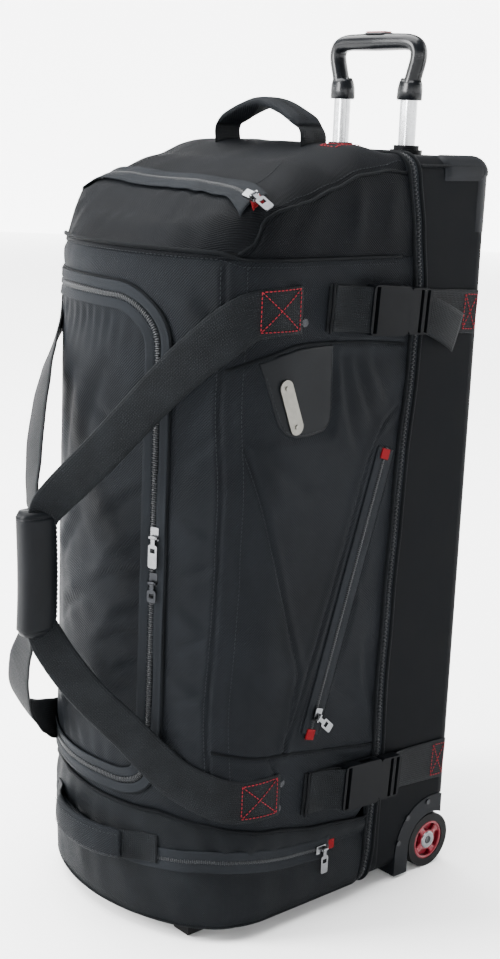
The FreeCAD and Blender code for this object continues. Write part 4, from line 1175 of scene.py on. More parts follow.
def make_cap_details():
    line = [wall_point(u * MM, through(abs(u), [(0, 779), (SEAM_U - 10, 778), (side_u(-95), 771), (900, 771)]) * MM,
                       2.2 * MM) for u in steps(-side_u(120), side_u(120), 5)]
    tube_piece("cap_seam_piping", line, 2.2 * MM, "binding")
    second = [wall_point(u * MM, through(abs(u), [(0, 772), (SEAM_U - 10, 771), (side_u(-95), 764), (900, 764)]) * MM,
                         1.6 * MM) for u in steps(-side_u(120), side_u(120), 5)]
    stitches("cap_seam_stitching", [second], Vector((0.2, -1, 0.2)), "dark_thread")
    path = [(-163, -70), (-150, -56), (-120, -56), (-60, -62), (0, -65), (60, -68), (110, -71), (134, -75.6),
            (147, -78)]
    track = [(x * MM, y * MM) for x, y in path]

    def place(x, y, lift):
        return cap_point(x / MM, y / MM, lift / MM)

    def lift(offset, travel):
        away = abs(offset) / MM
        return (2.2 + 0.5 * hump(away - 14, 2) - 0.8 * hump(away, 3)) * MM

    strip_piece("cap_zip_tape", track, -15.5 * MM, 15.5 * MM, lift, "tape", 1.4 * MM, place, 14)
    tab = [(x * MM, y * MM) for x, y in ((142, -77), (147, -78.4), (153, -80))]
    strip_piece("cap_zip_tab", tab, -4.0 * MM, 8.0 * MM, 4.2 * MM, "red", 1.2 * MM, place, 8)
    points, faces, cloth = merge_parts(curved_coil(track, 2.2 * MM, place=place))
    coil = add_piece("cap_zip_coil", points, faces, "coil", "bag", cloth)
    threads = []
    for offset in (-13, -6, 6, 13):
        rows = flat_strip(track, offset * MM, offset * MM, 4 * MM, 1)
        threads.append([place(row[0][0], row[0][1], 2.6 * MM) for row in rows])
    stitches("cap_zip_stitching", threads, Vector((0, -0.5, 1)), "dark_thread")
    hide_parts("pocket_zippers")
    corners = [(100, 56), (122, 58), (120, 112), (98, 110)]
    loops = corners + corners[:1]
    diagonals = [[corners[0], corners[2]], [corners[1], corners[3]]]
    threads = []
    for run in [loops] + diagonals:
        for a, b in zip(run, run[1:]):
            spots = [(lerp(a[0], b[0], t / 6), lerp(a[1], b[1], t / 6)) for t in range(7)]
            threads.append([cap_point(x, y, 0.5) for x, y in spots])
    stitches("cap_box_stitching_right", threads, Vector((0, 0, 1)), "thread", radius=0.55 * MM)


make_cap()
make_cap_details()

# ---------------------------------------------------------------- perimeter zipper and shell edges

def ring_points(grow, pitch=4.0):
    """Points and outward normals round the case's front view, in millimetres."""
    half, low, high, corner = HALF / MM, SHELL_LOW[2] / MM, SHELL_TOP / MM, 20.0
    centres = [(half - corner, low + corner, -90), (half - corner, high - corner, 0),
               (-half + corner, high - corner, 90), (-half + corner, low + corner, 180)]
    ring = []
    for cx, cz, start in centres:
        for k in range(9):
            turn = math.radians(start + 90 * k / 8)
            ring.append((cx + corner * math.cos(turn), cz + corner * math.sin(turn), math.cos(turn), math.sin(turn)))
    out = []
    for i, (x, z, nx, nz) in enumerate(ring):
        x1, z1, nx1, nz1 = ring[(i + 1) % len(ring)]
        count = max(1, round(math.hypot(x1 - x, z1 - z) / pitch))
        for k in range(count):
            t = k / count
            n = Vector((lerp(nx, nx1, t), 0, lerp(nz, nz1, t))).normalized()
            out.append((Vector((lerp(x, x1, t), 0, lerp(z, z1, t))) + n * grow, n))
    return out


def band_y(z):
    return zip_line(z) + 1.5


def make_perimeter():
    ring = ring_points(0, 3.2)
    profile = [(-11, 0.2), (-9.5, 2.4), (-7.5, 3.2), (-5.5, 2.2), (-3, 1.6), (0, 1.4), (3, 1.6), (5.5, 2.2),
               (7.5, 3.2), (9.5, 2.4), (11, 0.2)]
    points, cloth = [], []
    travel = 0
    for i, (p, n) in enumerate(ring):
        sway = 0.5 * math.sin(i / 7.0)
        for offset, lift in profile:
            points.append((p + n * lift + Vector((0, band_y(p.z) + offset + sway, 0))) * MM)
            cloth.append((offset * MM, travel * MM))
        travel += 3.2
    faces = [tuple(reversed(face)) for face in grid_faces(len(ring), len(profile), True)]
    tape = add_piece("perimeter_tape", points, faces, "tape", "bag", cloth)
    thicken(tape, 1.2 * MM)
    for shift, label in ((-8.2, "front"), (8.2, "rear")):
        path = [(p + n * 2.6 + Vector((0, band_y(p.z) + shift + 0.5 * math.sin(i / 7.0), 0))) * MM
                for i, (p, n) in enumerate(ring)]
        tube_piece(f"perimeter_piping_{label}", path, 2.5 * MM, "binding", closed=True, up=Vector((0, 1, 0)))
    fine = ring_points(0, 2.3)
    parts = []
    for i, (p, n) in enumerate(fine):
        centre = p + Vector((0, band_y(p.z) + (0.9 if i % 2 else -0.9), 0))
        ends = [centre + Vector((0, a, 0)) + n * h for a, h in ((-2.0, 1.2), (-1, 2.6), (1, 2.6), (2.0, 1.2))]
        parts.append(sweep([e * MM for e in ends], n.cross(Vector((0, 1, 0))), circle(0.95 * MM, 5)))
    points, faces, cloth = merge_parts(parts)
    coil = add_piece("perimeter_coil", points, faces, "coil", "bag", cloth)
    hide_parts("perimeter_zipper")


def make_aprons():
    for hand in (1, -1):
        label = "right" if hand > 0 else "left"
        zs = steps(15, 470, 6)
        points, cloth = [], []
        for z in zs:
            start, end = band_y(z) + 6, max(146.0, band_y(z) + 12)
            if z < 36:
                drop = 20 - math.sqrt(max(0, 400 - (34 - z) ** 2)) if z < 34 else 0
            else:
                drop = 0
            for k in range(7):
                y = lerp(start, end, k / 6)
                points.append(Vector((hand * (168.7 - drop), y, z)) * MM)
                cloth.append((y * MM, z * MM))
        faces = grid_faces(len(zs), 7)
        if hand > 0:
            faces = [tuple(reversed(face)) for face in faces]
        apron = add_piece(f"shell_apron_{label}", points, faces, "shell", "bag", cloth)
        thicken(apron, 1.0 * MM)


make_perimeter()
make_aprons()

# ---------------------------------------------------------------- side pocket, patch and stitching

def side_point(y, z, lift=0.0, hand=1):
    return body_point(hand * side_u(y), z, lift)


def make_pocket():
    track = [(side_u(y) * MM, z * MM) for y, z in POCKET_TRACK]

    def place(u, z, lift):
        return wall_point(u, z, lift)

    def lift(offset, travel):
        away = abs(offset) / MM
        return (3.3 - 0.5 * smooth(away, 8, 13) - 0.7 * hump(away, 3)) * MM

    placket = strip_piece("pocket_placket", track, -13 * MM, 13 * MM, lift, "tape", 1.0 * MM, across=12)
    points, faces, cloth = merge_parts(curved_coil([track[0], track[1]], 3.2 * MM))
    add_piece("pocket_coil", points, faces, "coil", "bag", cloth)
    threads = []
    for offset in (-17, -11, 11, 17):
        rows = flat_strip(track, offset * MM, offset * MM, 4 * MM, 1)
        away = abs(offset)
        threads.append([place(row[0][0], row[0][1], (3.5 if away < 13 else 2.8) * MM) for row in rows])
    stitches("pocket_stitching", threads, Vector((1, 0, 0)), "dark_thread")
    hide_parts("side_pocket")


def box_stitch(name, corners, place, hand=1, cross=True):
    """A sewn rectangle with its two diagonals, each drawn on a surface."""
    loops = [corners + corners[:1]]
    if cross:
        loops += [[corners[0], corners[2]], [corners[1], corners[3]]]
    threads = []
    for loop in loops:
        for a, b in zip(loop, loop[1:]):
            threads.append([place(lerp(a[0], b[0], t / 6), lerp(a[1], b[1], t / 6)) for t in range(7)])
    stitches(name, threads, Vector((hand, 0, 0)), "thread", length=3.4 * MM, gap=1.3 * MM, radius=0.6 * MM)


def make_patch():
    """The leatherette patch behind the metal plate, cut to a rounded outline."""
    outline_points = [(-76, 664), (-70, 650), (-56, 610), (-50, 596), (-40, 586), (-24, 581), (-6, 581), (16, 585),
                      (24, 592), (27, 602), (26, 640), (24, 679), (-24, 678), (-50, 673)]
    centre = (-22, 630)
    rings = [0.0, 0.35, 0.7, 0.94, 0.985, 1.0]
    points, cloth = [], []
    for i in range(len(outline_points)):
        y, z = outline_points[i]
        for r in rings:
            py, pz = lerp(centre[0], y, r), lerp(centre[1], z, r)
            points.append(side_point(py, pz, 1.3 if r < 0.95 else (1.0 if r < 0.99 else 0.2)))
            cloth.append((py * MM, pz * MM))
    faces = [tuple(reversed(face)) for face in grid_faces(len(outline_points), len(rings), True)]
    patch = add_piece("side_patch", points, faces, "leather", "bag", cloth, merge=0.05 * MM)
    thicken(patch, 0.8 * MM)
    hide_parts("badge_patch")
    edge = resample([Vector((22, 674, 0)), Vector((24, 640, 0)), Vector((25, 604, 0)), Vector((19, 590, 0)),
                     Vector((-4, 585, 0)), Vector((-24, 585, 0)), Vector((-40, 590, 0)), Vector((-52, 610, 0)),
                     Vector((-68, 652, 0))], 4)
    stitches("side_patch_stitching", [[side_point(p.x, p.y, 1.6) for p in edge]], Vector((1, 0, 0)), "dark_thread")


make_pocket()
make_patch()

# ---------------------------------------------------------------- compression straps

STRAPS = {"upper": 716.0, "lower": 157.0}
TILT = math.radians(3.6)


def strap_point(level, hand, u, v, w):
    """A point in a compression strap's own axes: u rearwards, v upwards, w outwards."""
    y = 65 + u * math.cos(TILT) + v * math.sin(TILT)
    z = STRAPS[level] - u * math.sin(TILT) + v * math.cos(TILT)
    return Vector((hand * (168 + w), y, z)) * MM


def strap_ribbon(name, level, hand, line, widths, depth=1.8, body="bag"):
    """Webbing along (u, w) points, crowned a little, its width given at each end."""
    track = resample([Vector((u, w, 0)) for u, w in line], 3)
    path = [strap_point(level, hand, p.x, 0, p.y) for p in track]
    ups = []
    for i in range(len(track)):
        run = (track[min(i + 1, len(track) - 1)] - track[max(0, i - 1)]).normalized()
        ups.append(strap_point(level, hand, -run.y, 0, run.x) - strap_point(level, hand, 0, 0, 0))
    count = len(path) - 1

    def section(i):
        width = lerp(widths[0], widths[1], i / count)
        return [(a * MM, b * MM) for a, b in flat_section(width, depth, 8, 0.5)]

    points, faces, cloth = sweep(path, ups, section)
    return add_piece(name, points, faces, "webbing", body, cloth)


def make_compression(level, hand):
    label = f"{level}_{'right' if hand > 0 else 'left'}"
    under = strap_ribbon(f"front_strap_{label}", level, hand,
                         [(-53, 1.9), (-30, 2.0), (-12, 3.0), (-2, 6.0), (4, 10), (6.5, 12.5)], (50, 48))
    over = strap_ribbon(f"front_strap_loop_{label}", level, hand,
                        [(6.5, 13.5), (2, 14.8), (-6, 12), (-16, 7), (-30, 4.6), (-46, 4.3)], (48, 49))
    bar = [strap_point(level, hand, -50, v, 6.2 + 0.5 * math.cos(v / 9)) for v in steps(-27, 27, 3)]
    tube_piece(f"ladder_bar_{label}", bar, 1.7 * MM, "buckle", up=Vector((1, 0, 0)))
    rear = strap_ribbon(f"rear_strap_{label}", level, hand,
                        [(82, 11), (86, 9.5), (93, 6.5), (102, 3.6), (116, 2.2), (140, 1.9), (189, 1.9)], (47, 50),
                        body=None)
    strap_point(level, hand, 182, 0, 2)
    strap_point(level, hand, 100, 0, 4)
    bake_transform(rear)
    corners = [(167, -20), (188, -20), (188, 20), (167, 20)]
    box_stitch(f"rear_strap_box_{label}", corners, lambda u, v: strap_point(level, hand, u, v, 3.4), hand)
    return [under, over], rear


front_straps, rear_straps = [], []
for level in STRAPS:
    for hand in (1, -1):
        fronts, rear = make_compression(level, hand)
        front_straps += fronts
        rear_straps.append(rear)
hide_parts("front_straps")
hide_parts("rear_straps")


def make_tail(hand):
    """The loose end of webbing behind an upper plug, curling outwards and down."""
    label = "right" if hand > 0 else "left"
    rows, columns = 16, 8
    points, cloth = [], []
    for i in range(rows + 1):
        t = i / rows
        for k in range(columns + 1):
            s = k / columns * 2 - 1
            u = 93 + 58 * t + 5 * t * s
            v = -3 + 22 * s - 21 * t ** 1.2
            w = 7.6 + 3.5 * math.sin(2.6 * t) + 1.2 * s * t + 0.6 * (1 - s * s)
            points.append(strap_point("upper", hand, u, v, w))
            cloth.append(((s * 25) * MM, (60 * t) * MM))
    faces = grid_faces(rows + 1, columns + 1)
    if hand > 0:
        faces = [tuple(reversed(face)) for face in faces]
    tail = add_piece(f"strap_tail_cloth_{label}", points, faces, "webbing", f"buckle_upper_{label}", cloth)
    thicken(tail, 1.8 * MM)
    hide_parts(f"strap_tail_{label}")


for hand in (1, -1):
    make_tail(hand)

# ---------------------------------------------------------------- haul straps and their wrap

def arc_point(turn, z, lift):
    turn = math.radians(turn)
    reach = CORNER_R / MM + lift
    return Vector((CORNER_X / MM + reach * math.sin(turn), CORNER_Y / MM - reach * math.cos(turn), z))


def haul_ribbon(name, line, ups, widths, hand, depth=1.9):
    """Load webbing through millimetre points with its outward direction and width at each."""
    mirror = Vector((hand, 1, 1))
    stations = [Vector(p) * mirror for p in line]
    path = resample(stations, 5)
    reach = [0.0]
    for a, b in zip(stations, stations[1:]):
        reach.append(reach[-1] + (b - a).length)
    directions, sizes = [], []
    for i in range(len(path)):
        goal = reach[-1] * i / (len(path) - 1)
        k = max(j for j in range(len(reach) - 1) if reach[j] <= goal + 1e-6)
        t = smooth(goal, reach[k], reach[k + 1])
        directions.append(((Vector(ups[k]) * mirror).lerp(Vector(ups[k + 1]) * mirror, t)).normalized())
        sizes.append(lerp(widths[k], widths[k + 1], t))

    def section(i):
        return [(a, b) for a, b in flat_section(sizes[i], depth + (50 - sizes[i]) * 0.07, 10, 0.9)]

    points, faces, cloth = sweep(path, directions, section)
    points = [p * MM for p in points]
    cloth = [(a * MM, b * MM) for a, b in cloth]
    return add_piece(name, points, faces, "webbing", "bag", cloth)


def make_haul(hand):
    label = "right" if hand > 0 else "left"
    upper_line = [(170.3, -26, 719), (170.4, -40, 718.5), arc_point(76, 717, 2.2), arc_point(61, 712, 2.4),
                  arc_point(47, 695, 3.0), (119, -134, 664), (99, -154, 635), (79, -175, 602), (55, -200, 562),
                  (35, -218, 533), (16, -234, 505), (7, -240, 484)]
    upper_ups = [(1, 0, 0), (1, 0, 0), (0.97, -0.24, 0), (0.87, -0.48, 0), (0.73, -0.68, 0.05), (0.66, -0.74, 0.1),
                 (0.64, -0.76, 0.1), (0.62, -0.78, 0.1), (0.62, -0.78, 0.08), (0.7, -0.7, 0.1), (0.85, -0.5, 0.1),
                 (0.96, -0.2, 0.1)]
    upper_widths = [50, 50, 50, 50, 50, 47, 44, 42, 41, 40, 38, 34]
    lower_line = [(170.3, -26, 171), (170.4, -40, 171), arc_point(76, 171, 2.2), arc_point(61, 173, 2.4),
                  arc_point(47, 181, 3.0), (118, -134, 199), (98, -154, 224), (78, -175, 253), (54, -201, 286),
                  (34, -219, 315), (17, -233, 345), (7, -240, 368)]
    lower_ups = [(1, 0, 0), (1, 0, 0), (0.97, -0.24, 0), (0.87, -0.48, 0), (0.73, -0.68, -0.05), (0.66, -0.74, -0.05),
                 (0.62, -0.78, 0.05), (0.58, -0.8, 0.1), (0.6, -0.78, 0.1), (0.7, -0.7, 0.1), (0.85, -0.5, 0),
                 (0.96, -0.2, 0)]
    if hand < 0:
        lower_line = lower_line[:5] + [(124, -133, 191), (112, -160, 204), (98, -188, 224), (76, -212, 256),
                                       (50, -230, 300), (24, -238, 340), (9, -240, 366)]
        upper_ups = upper_ups[:5] + [(0.5, -0.85, 0.1), (0.3, -0.95, 0.1), (0.15, -0.98, 0.1), (0.1, -0.98, 0.1),
                                     (0.15, -0.95, 0.1), (0.3, -0.95, 0.1), (0.6, -0.8, 0.1)]
        lower_ups = lower_ups[:5] + [(0.4, -0.9, 0), (0.1, -1, 0.05), (-0.15, -0.95, 0.1), (-0.2, -0.9, 0.15),
                                     (-0.1, -0.95, 0.1), (0.2, -0.95, 0), (0.6, -0.8, 0)]
        upper_line = upper_line[:5] + [(122, -134, 664), (106, -158, 634), (86, -180, 602), (60, -204, 566),
                                       (38, -221, 535), (19, -235, 506), (8, -240, 484)]
    upper = haul_ribbon(f"haul_webbing_upper_{label}", upper_line, upper_ups, upper_widths, hand)
    haul_ribbon(f"haul_webbing_lower_{label}", lower_line, lower_ups, upper_widths, hand)
    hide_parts(f"haul_strap_{label}")
    for level, corners in (("upper", [(-30, 742), (-77, 739), (-77, 697), (-30, 698)]),
                           ("lower", [(-31, 193), (-76, 191), (-76, 152), (-31, 151)])):
        def place(y, z):
            u = hand * side_u(y) * MM
            return wall_point(u, z * MM, 4.3 * MM)
        box_stitch(f"haul_box_{level}_{label}", corners, place, hand)


def superellipse(half_x, half_y, power=2.6, count=28):
    ring = []
    for k in range(count):
        turn = 2 * math.pi * k / count
        c, s = math.cos(turn), math.sin(turn)
        ring.append((half_x * math.copysign(abs(c) ** (2 / power), c), half_y * math.copysign(abs(s) ** (2 / power), s)))
    return ring


def make_wrap():
    zs = steps(356, 495, 4)
    points, cloth = [], []
    ring_size = 36
    for z in zs:
        t = (z - 356) / 139
        waist = 1 + 0.05 * math.cos(2 * math.pi * t) - 0.16 * (hump(t, 0.03) + hump(t - 1, 0.03))
        centre_y = -242 + 2.0 * math.sin(3 * t + 0.5)
        for k, (a, b) in enumerate(superellipse(14.5 * waist, 20.5 * waist, 2.8, ring_size)):
            wrinkle = 0.7 * soft_noise(k * 9, z, 71, 24) + 0.5 * math.sin(z / 6 + k / 3.0) * hump(t - 0.5, 0.5)
            scale = 1 + wrinkle / 18
            points.append(Vector((a * scale, centre_y + b * scale, z)) * MM)
            cloth.append((k * 3.2 * MM, z * MM))
    faces = []
    for i in range(len(zs) - 1):
        for k in range(ring_size):
            n = (k + 1) % ring_size
            faces.append((i * ring_size + k, i * ring_size + n, (i + 1) * ring_size + n, (i + 1) * ring_size + k))
    faces.append(tuple(range(ring_size - 1, -1, -1)))
    faces.append(tuple(range((len(zs) - 1) * ring_size, len(zs) * ring_size)))
    pad = add_piece("haul_wrap_pad", points, faces, "leather", "bag", cloth)
    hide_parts("haul_wrap")
    flap_points, flap_cloth = [], []
    columns = 22
    for z in steps(362, 489, 4):
        t = (z - 362) / 127
        inset = 6 * (hump(t, 0.07) + hump(t - 1, 0.07))
        for k in range(columns + 1):
            turn = lerp(-150, 62 - inset * 3, k / columns)
            c, s = math.cos(math.radians(turn)), math.sin(math.radians(turn))
            a = 15.8 * math.copysign(abs(c) ** 0.72, c)
            b = 21.8 * math.copysign(abs(s) ** 0.72, s)
            flap_points.append(Vector((a, -242 + 2.0 * math.sin(3 * t + 0.5) + b, z)) * MM)
            flap_cloth.append((k * 3 * MM, z * MM))
    flap = add_piece("haul_wrap_flap", flap_points, grid_faces(len(steps(362, 489, 4)), columns + 1), "leather",
                     "bag", flap_cloth)
    thicken(flap, 1.2 * MM, False)
    for turn, name in ((54, "edge"), (46, "inner")):
        c, s = math.cos(math.radians(turn)), math.sin(math.radians(turn))
        line = [Vector((16.3 * abs(c) ** 0.72, -242 + 2.0 * math.sin(3 * (z - 362) / 127 + 0.5) + 22.2 * abs(s) ** 0.72, z)) * MM
                for z in steps(374, 477, 6)]
        stitches(f"haul_wrap_stitching_{name}", [line], Vector((0.6, 0.8, 0)), "dark_thread")


for hand in (1, -1):
    make_haul(hand)
make_wrap()

# ---------------------------------------------------------------- grab handles

def thick_strap(name, route, up, sections, finish, body="bag", upright=False):
    """A handle along millimetre points; sections are (share of length, width, thickness, roundness)."""
    path = resample([Vector(p) for p in route], 3)
    count = len(path) - 1

    def section(i):
        t = i / count
        width = through(t, [(s[0], s[1]) for s in sections])
        depth = through(t, [(s[0], s[2]) for s in sections])
        power = through(t, [(s[0], s[3]) for s in sections])
        wobble = 1 + 0.02 * math.sin(i / 3.1) + 0.015 * math.sin(i / 1.7 + 1)
        if upright:
            width, depth = depth, width
        return superellipse(width / 2, depth / 2 * wobble, power, 24)

    points, faces, cloth = sweep(path, up, section)
    return add_piece(name, [p * MM for p in points], faces, finish, body, [(a * MM, b * MM) for a, b in cloth])


def make_top_handle():
    route = [(-67, 66, 880), (-68, 66, 891), (-69, 66, 901), (-64, 66, 909.5), (-50, 66, 917), (-30, 66, 925),
             (-10, 66, 930.8), (4, 66, 932), (20, 66, 930), (40, 66, 923.5), (58, 66, 915.5), (71, 66, 907),
             (77, 66, 899), (78, 66, 889), (77, 66, 878)]
    strap = thick_strap("top_handle_webbing", route, Vector((0, 1, 0)),
                        [(0, 38, 2.2, 5), (0.14, 38, 2.4, 5), (0.3, 38, 3, 4.5), (0.7, 38, 3, 4.5), (0.86, 38, 2.4, 5),
                         (1, 38, 2.2, 5)], "webbing", upright=True)
    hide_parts("top_handle")
    roll = [p for p in route if p[2] > 906]
    pad = thick_strap("top_handle_pad", roll, Vector((0, 1, 0)),
                      [(0, 38, 8, 2.6), (0.08, 42, 11, 2.5), (0.5, 44, 12.5, 2.4), (0.92, 42, 11, 2.5),
                       (1, 38, 8, 2.6)],
                      "fabric", upright=True)
    threads = []
    for y in (50.5, 81.5):
        threads.append([Vector((p[0], y, p[2] + 4.0)) * MM for p in roll])
    stitches("top_handle_stitching", threads, Vector((0, 0, 1)), "dark_thread")


def make_bottom_handle():
    route = [(-97, -141.0, 108), (-88, -144.6, 108), (-78, -150, 108), (-62, -164, 108), (-36, -175, 107),
             (0, -179.5, 106.5), (36, -175, 107), (62, -164, 108), (78, -150, 108), (88, -144.6, 108), (97, -141.0, 108)]
    strap = thick_strap("bottom_handle_webbing", route, Vector((0, -1, 0.01)),
                        [(0, 34, 2.4, 5), (0.1, 34, 2.6, 5), (0.5, 34, 3, 5), (0.9, 34, 2.6, 5), (1, 34, 2.4, 5)],
                        "webbing")
    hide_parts("bottom_handle")
    roll = [(x, y - 1.2, z) for x, y, z in route if abs(x) < 70]
    pad = thick_strap("bottom_handle_pad", roll, Vector((0, -1, 0.01)),
                      [(0, 32, 8, 2.4), (0.06, 36, 10.5, 2.4), (0.5, 37, 11.5, 2.3), (0.94, 36, 10.5, 2.4),
                       (1, 32, 8, 2.4)], "fabric")
    threads = []
    for z in (94, 120):
        threads.append([Vector((x, y - 5.4, z)) * MM for x, y, _ in roll])
    stitches("bottom_handle_stitching", threads, Vector((0, -1, 0)), "dark_thread")


# ---------------------------------------------------------------- telescoping handle's grip

def make_grip():
    low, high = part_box("handle_grip")
    _, tube_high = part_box("handle_tubes")
    base, top = low[2] / MM, high[2] / MM
    y = (low[1] + high[1]) / 2 / MM
    leg = tube_high[0] / MM - 11
    bar = top - 11
    half = [(leg, y, base + 6), (leg + 2, y, base + 16), (leg + 6, y, base + 30), (leg + 10.5, y, base + 45),
            (leg + 11, y, bar - 11), (leg + 6.5, y, bar - 3.5), (leg - 4, y, bar + 0.2), (leg - 22, y, bar + 1)]
    route = half + [(-x, yy, z) for x, yy, z in reversed(half)]
    path = resample([Vector(p) for p in route], 2.4)
    count = len(path) - 1
    ups = []
    for p in path:
        ups.append(Vector((p.x * 0.75, 0, (p.z - base - 22) * 0.8 + 1)).normalized())

    def section(i):
        t = min(i, count - i) / count
        wide = through(t, [(0, 12.5), (0.09, 10.6), (0.2, 10.6), (0.3, 11.6), (0.5, 12.6)])
        deep = through(t, [(0, 10.2), (0.09, 8.6), (0.2, 8.6), (0.3, 9.6), (0.5, 10.4)])
        return superellipse(wide, deep, 2.3, 28)

    points, faces, cloth = sweep(path, ups, section)
    parts = [(points, faces, cloth)]
    for hand in (1, -1):
        rings = [(base, 14.2, 11.6), (base + 1.2, 15.4, 12.6), (base + 12, 15.2, 12.4), (base + 19, 14.2, 11.6),
                 (base + 24, 12.2, 10.2)]
        centre = [Vector((hand * (leg + 0.12 * max(0, z - base - 8)), y, z)) for z, _, _ in rings]

        def sleeve(i):
            return superellipse(rings[i][1], rings[i][2], 2.5, 28)

        parts.append(sweep(centre, Vector((0, 1, 0)), sleeve))
    points, faces, cloth = merge_parts(parts)
    grip = add_piece("grip_loop", [p * MM for p in points], faces, "grip", "handle")
    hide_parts("handle_grip")
    line = [Vector((p.x, p.y, p.z)) + ups[i] * 10.5 for i, p in enumerate(path) if 6 < i < count - 6]
    seam = tube_piece("grip_parting_line", [p * MM for p in line], 0.35 * MM, "grip", "handle", up=Vector((0, 1, 0)))
    frame_low, frame_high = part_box("release_button")
    mid_x, top_z = 0.0, top - 0.4
    rim = []
    for k in range(40):
        turn = 2 * math.pi * k / 40
        c, s = math.cos(turn), math.sin(turn)
        rim.append(Vector((mid_x + 17.5 * math.copysign(abs(c) ** 0.5, c), y + 8.6 * math.copysign(abs(s) ** 0.5, s),
                           top_z)) * MM)
    tube_piece("grip_button_rim", rim, 1.2 * MM, "grip", "handle", closed=True)
    return seam


make_top_handle()
make_bottom_handle()
make_grip()

# ---------------------------------------------------------------- rear shell's edges

def edge_line(hand, low=40.0, front=None):
    """Centres and outward directions along a side's top and rear edges, front to back and down."""
    inset = SHELL_TOP / MM - 20
    rear = REAR_Y / MM - 20
    x = hand * (HALF / MM - 20)
    line = [(Vector((x, y, inset)), Vector((0, 0, 1))) for y in steps(front or 146, rear, 2.2)]
    for k in range(1, 15):
        turn = math.radians(90 * k / 15)
        line.append((Vector((x, rear, inset)), Vector((0, math.sin(turn), math.cos(turn)))))
    return line + [(Vector((x, rear, z)), Vector((0, 1, 0))) for z in steps(inset, low, 2.2)]


def make_shell_edges(hand):
    label = "right" if hand > 0 else "left"
    out = Vector((hand, 0, 0))
    piping = [(c + (out * math.cos(0.5) + d * math.sin(0.5)) * 20.6) * MM for c, d in edge_line(hand, 62)]
    tube_piece(f"shell_piping_{label}", piping[::2], 1.9 * MM, "binding", up=out)
    line = [item for item in edge_line(hand, 796, 186)]
    points, cloth = [], []
    turns = [-0.22, -0.1, 0.0, 0.12, 0.3, 0.5, 0.75, 1.0, 1.25, 1.45, math.pi / 2]
    for i, (centre, d) in enumerate(line):
        end = min(1.0, i / 4, (len(line) - 1 - i) / 4)
        rib = 1.0 if i % 2 else 0.0
        for k, turn in enumerate(turns):
            inner = 0.15 if k in (0, len(turns) - 1) else 1.0
            lift = 20 + (0.5 + end * (1.5 + 0.9 * rib * hump(turn - 0.75, 0.6))) * inner
            if turn < 0:
                p = centre + out * lift + d * (20 * turn * 1.4)
            else:
                p = centre + (out * math.cos(turn) + d * math.sin(turn)) * lift
            points.append(p * MM)
            cloth.append((k * 3 * MM, i * 2.2 * MM))
        p = centre + d * (20 + 0.3) - out * 8
        points.append(p * MM)
        cloth.append((33 * MM, i * 2.2 * MM))
    faces = grid_faces(len(line), len(turns) + 1)
    if hand > 0:
        faces = [tuple(reversed(face)) for face in faces]
    return add_piece(f"corner_guard_{label}", points, faces, "housing", "bag", cloth)


guards = [make_shell_edges(hand) for hand in (1, -1)]
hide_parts("corner_guards")

# ---------------------------------------------------------------- wheel faces

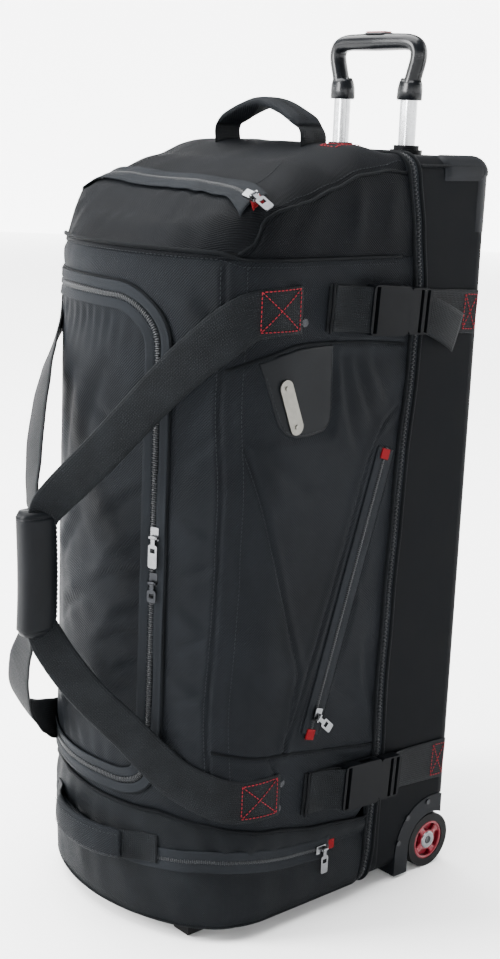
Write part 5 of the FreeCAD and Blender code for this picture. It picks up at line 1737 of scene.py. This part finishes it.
def make_wheel_trim(hand):
    """Spokes across the hub's groove, a rim bead and a metal cap, on the wheel's outer face."""
    label = "right" if hand > 0 else "left"
    low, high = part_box(f"hub_{label}")
    centre_y, centre_z = (low[1] + high[1]) / 2 / MM, (low[2] + high[2]) / 2 / MM
    face = max(abs(low[0]), abs(high[0])) / MM

    def spot(x, radius, turn):
        return Vector((hand * x, centre_y + radius * math.cos(turn), centre_z + radius * math.sin(turn))) * MM

    spokes = []
    for k in range(4):
        middle = math.radians(35 + 90 * k)
        rings = []
        for radius, spread, x in ((12.6, 0.42, face + 0.1), (15, 0.27, face - 0.5), (18.5, 0.21, face - 0.7),
                                  (22.4, 0.34, face + 0.1)):
            ring = []
            for s, drop in ((-1, 5), (-1, 0.9), (-0.75, 0), (0.75, 0), (1, 0.9), (1, 5)):
                ring.append(spot(x - drop, radius, middle + s * spread))
            rings.append(ring)
        points = [p for ring in rings for p in ring]
        faces = [(i * 6 + k2, i * 6 + (k2 + 1) % 6, i * 6 + 6 + (k2 + 1) % 6, i * 6 + 6 + k2)
                 for i in range(3) for k2 in range(6)]
        faces += [(5, 4, 3, 2, 1, 0), (18, 19, 20, 21, 22, 23)]
        spokes.append((points, faces, [(0, 0)] * len(points)))
    points, faces, _ = merge_parts(spokes)
    add_piece(f"hub_spokes_{label}", points, faces, "hub", f"wheel_{label}", merge=0.001 * MM)

    def turned(name, profile, finish, count=40):
        ring_points = [spot(x, max(radius, 0.02), 2 * math.pi * k / count) for k in range(count) for radius, x in profile]
        add_piece(name, ring_points, grid_faces(count, len(profile), True), finish, f"wheel_{label}", merge=0.03 * MM)

    turned(f"hub_bead_{label}", [(21.6, face - 0.4), (22.0, face + 0.5), (23.0, face + 0.9), (24.0, face + 0.6),
                                 (24.3, face - 0.3)], "hub")
    turned(f"hub_cap_{label}", [(11.2, face - 1.0), (11.0, face + 0.6), (10.2, face + 1.3), (8.4, face + 1.45),
                                (6.0, face + 1.2), (5.6, face + 1.15), (0, face + 1.15)], "steel")
    turned(f"hub_cap_recess_{label}", [(5.2, face + 1.1), (4.9, face + 1.5), (4.2, face + 1.6), (3.6, face + 1.3),
                                       (0, face + 1.25)], "black_metal")


for hand in (1, -1):
    make_wheel_trim(hand)

# ---------------------------------------------------------------- rear face of the shell

def make_rear_face():
    """Two moulded rails, a sewn frame and a kick panel on the shell's back."""
    back = REAR_Y / MM
    parts = []
    for x in (-96, 96):
        path = [Vector((x, back + 0.6, z)) for z in steps(112, 640, 4)]

        def section(i):
            end = min(1.0, (i + 0.3) / 4, (len(path) - 0.7 - i) / 4)
            rib = 0.5 if i % 4 == 0 else 0.0
            return [(a, b * (0.35 + 0.65 * end) + rib * (b > 0)) for a, b in
                    ((8, -1), (8, 1.0), (6.2, 2.9), (2, 3.5), (-2, 3.5), (-6.2, 2.9), (-8, 1.0), (-8, -1))]

        parts.append(sweep(path, Vector((0, 1, 0)), section))
    points, faces, _ = merge_parts(parts)
    add_piece("rear_rails", [p * MM for p in points], faces, "housing", "bag")
    corner, half, low, high = 30, 140, 104, 850
    ring = []
    for cx, cz, start in ((half - corner, low + corner, -90), (half - corner, high - corner, 0),
                          (-half + corner, high - corner, 90), (-half + corner, low + corner, 180)):
        for k in range(10):
            turn = math.radians(start + 10 * k)
            ring.append(Vector((cx + corner * math.cos(turn), back + 0.5, cz + corner * math.sin(turn))) * MM)
    tube_piece("rear_frame_piping", ring, 2.1 * MM, "binding", closed=True, up=Vector((0, 1, 0)))
    inner = [Vector((p.x * 0.955, p.y, (p.z - 0.477) * 0.983 + 0.477)) for p in ring]
    stitches("rear_frame_stitching", [inner + inner[:1]], Vector((0, 1, 0)), "dark_thread")
    for z, name in ((196, "kick"), (742, "yoke")):
        line = [Vector((x, back + 0.4 + 0.4 * hump(abs(x) - 60, 40), z + 3 * math.cos(x / 60))) * MM
                for x in steps(-138, 138, 6)]
        tube_piece(f"rear_{name}_piping", line, 1.8 * MM, "binding", up=Vector((0, 1, 0)))
        stitches(f"rear_{name}_stitching", [[p + Vector((0, 0, -5 * MM)) for p in line]], Vector((0, 1, 0)),
                 "dark_thread")


make_rear_face()
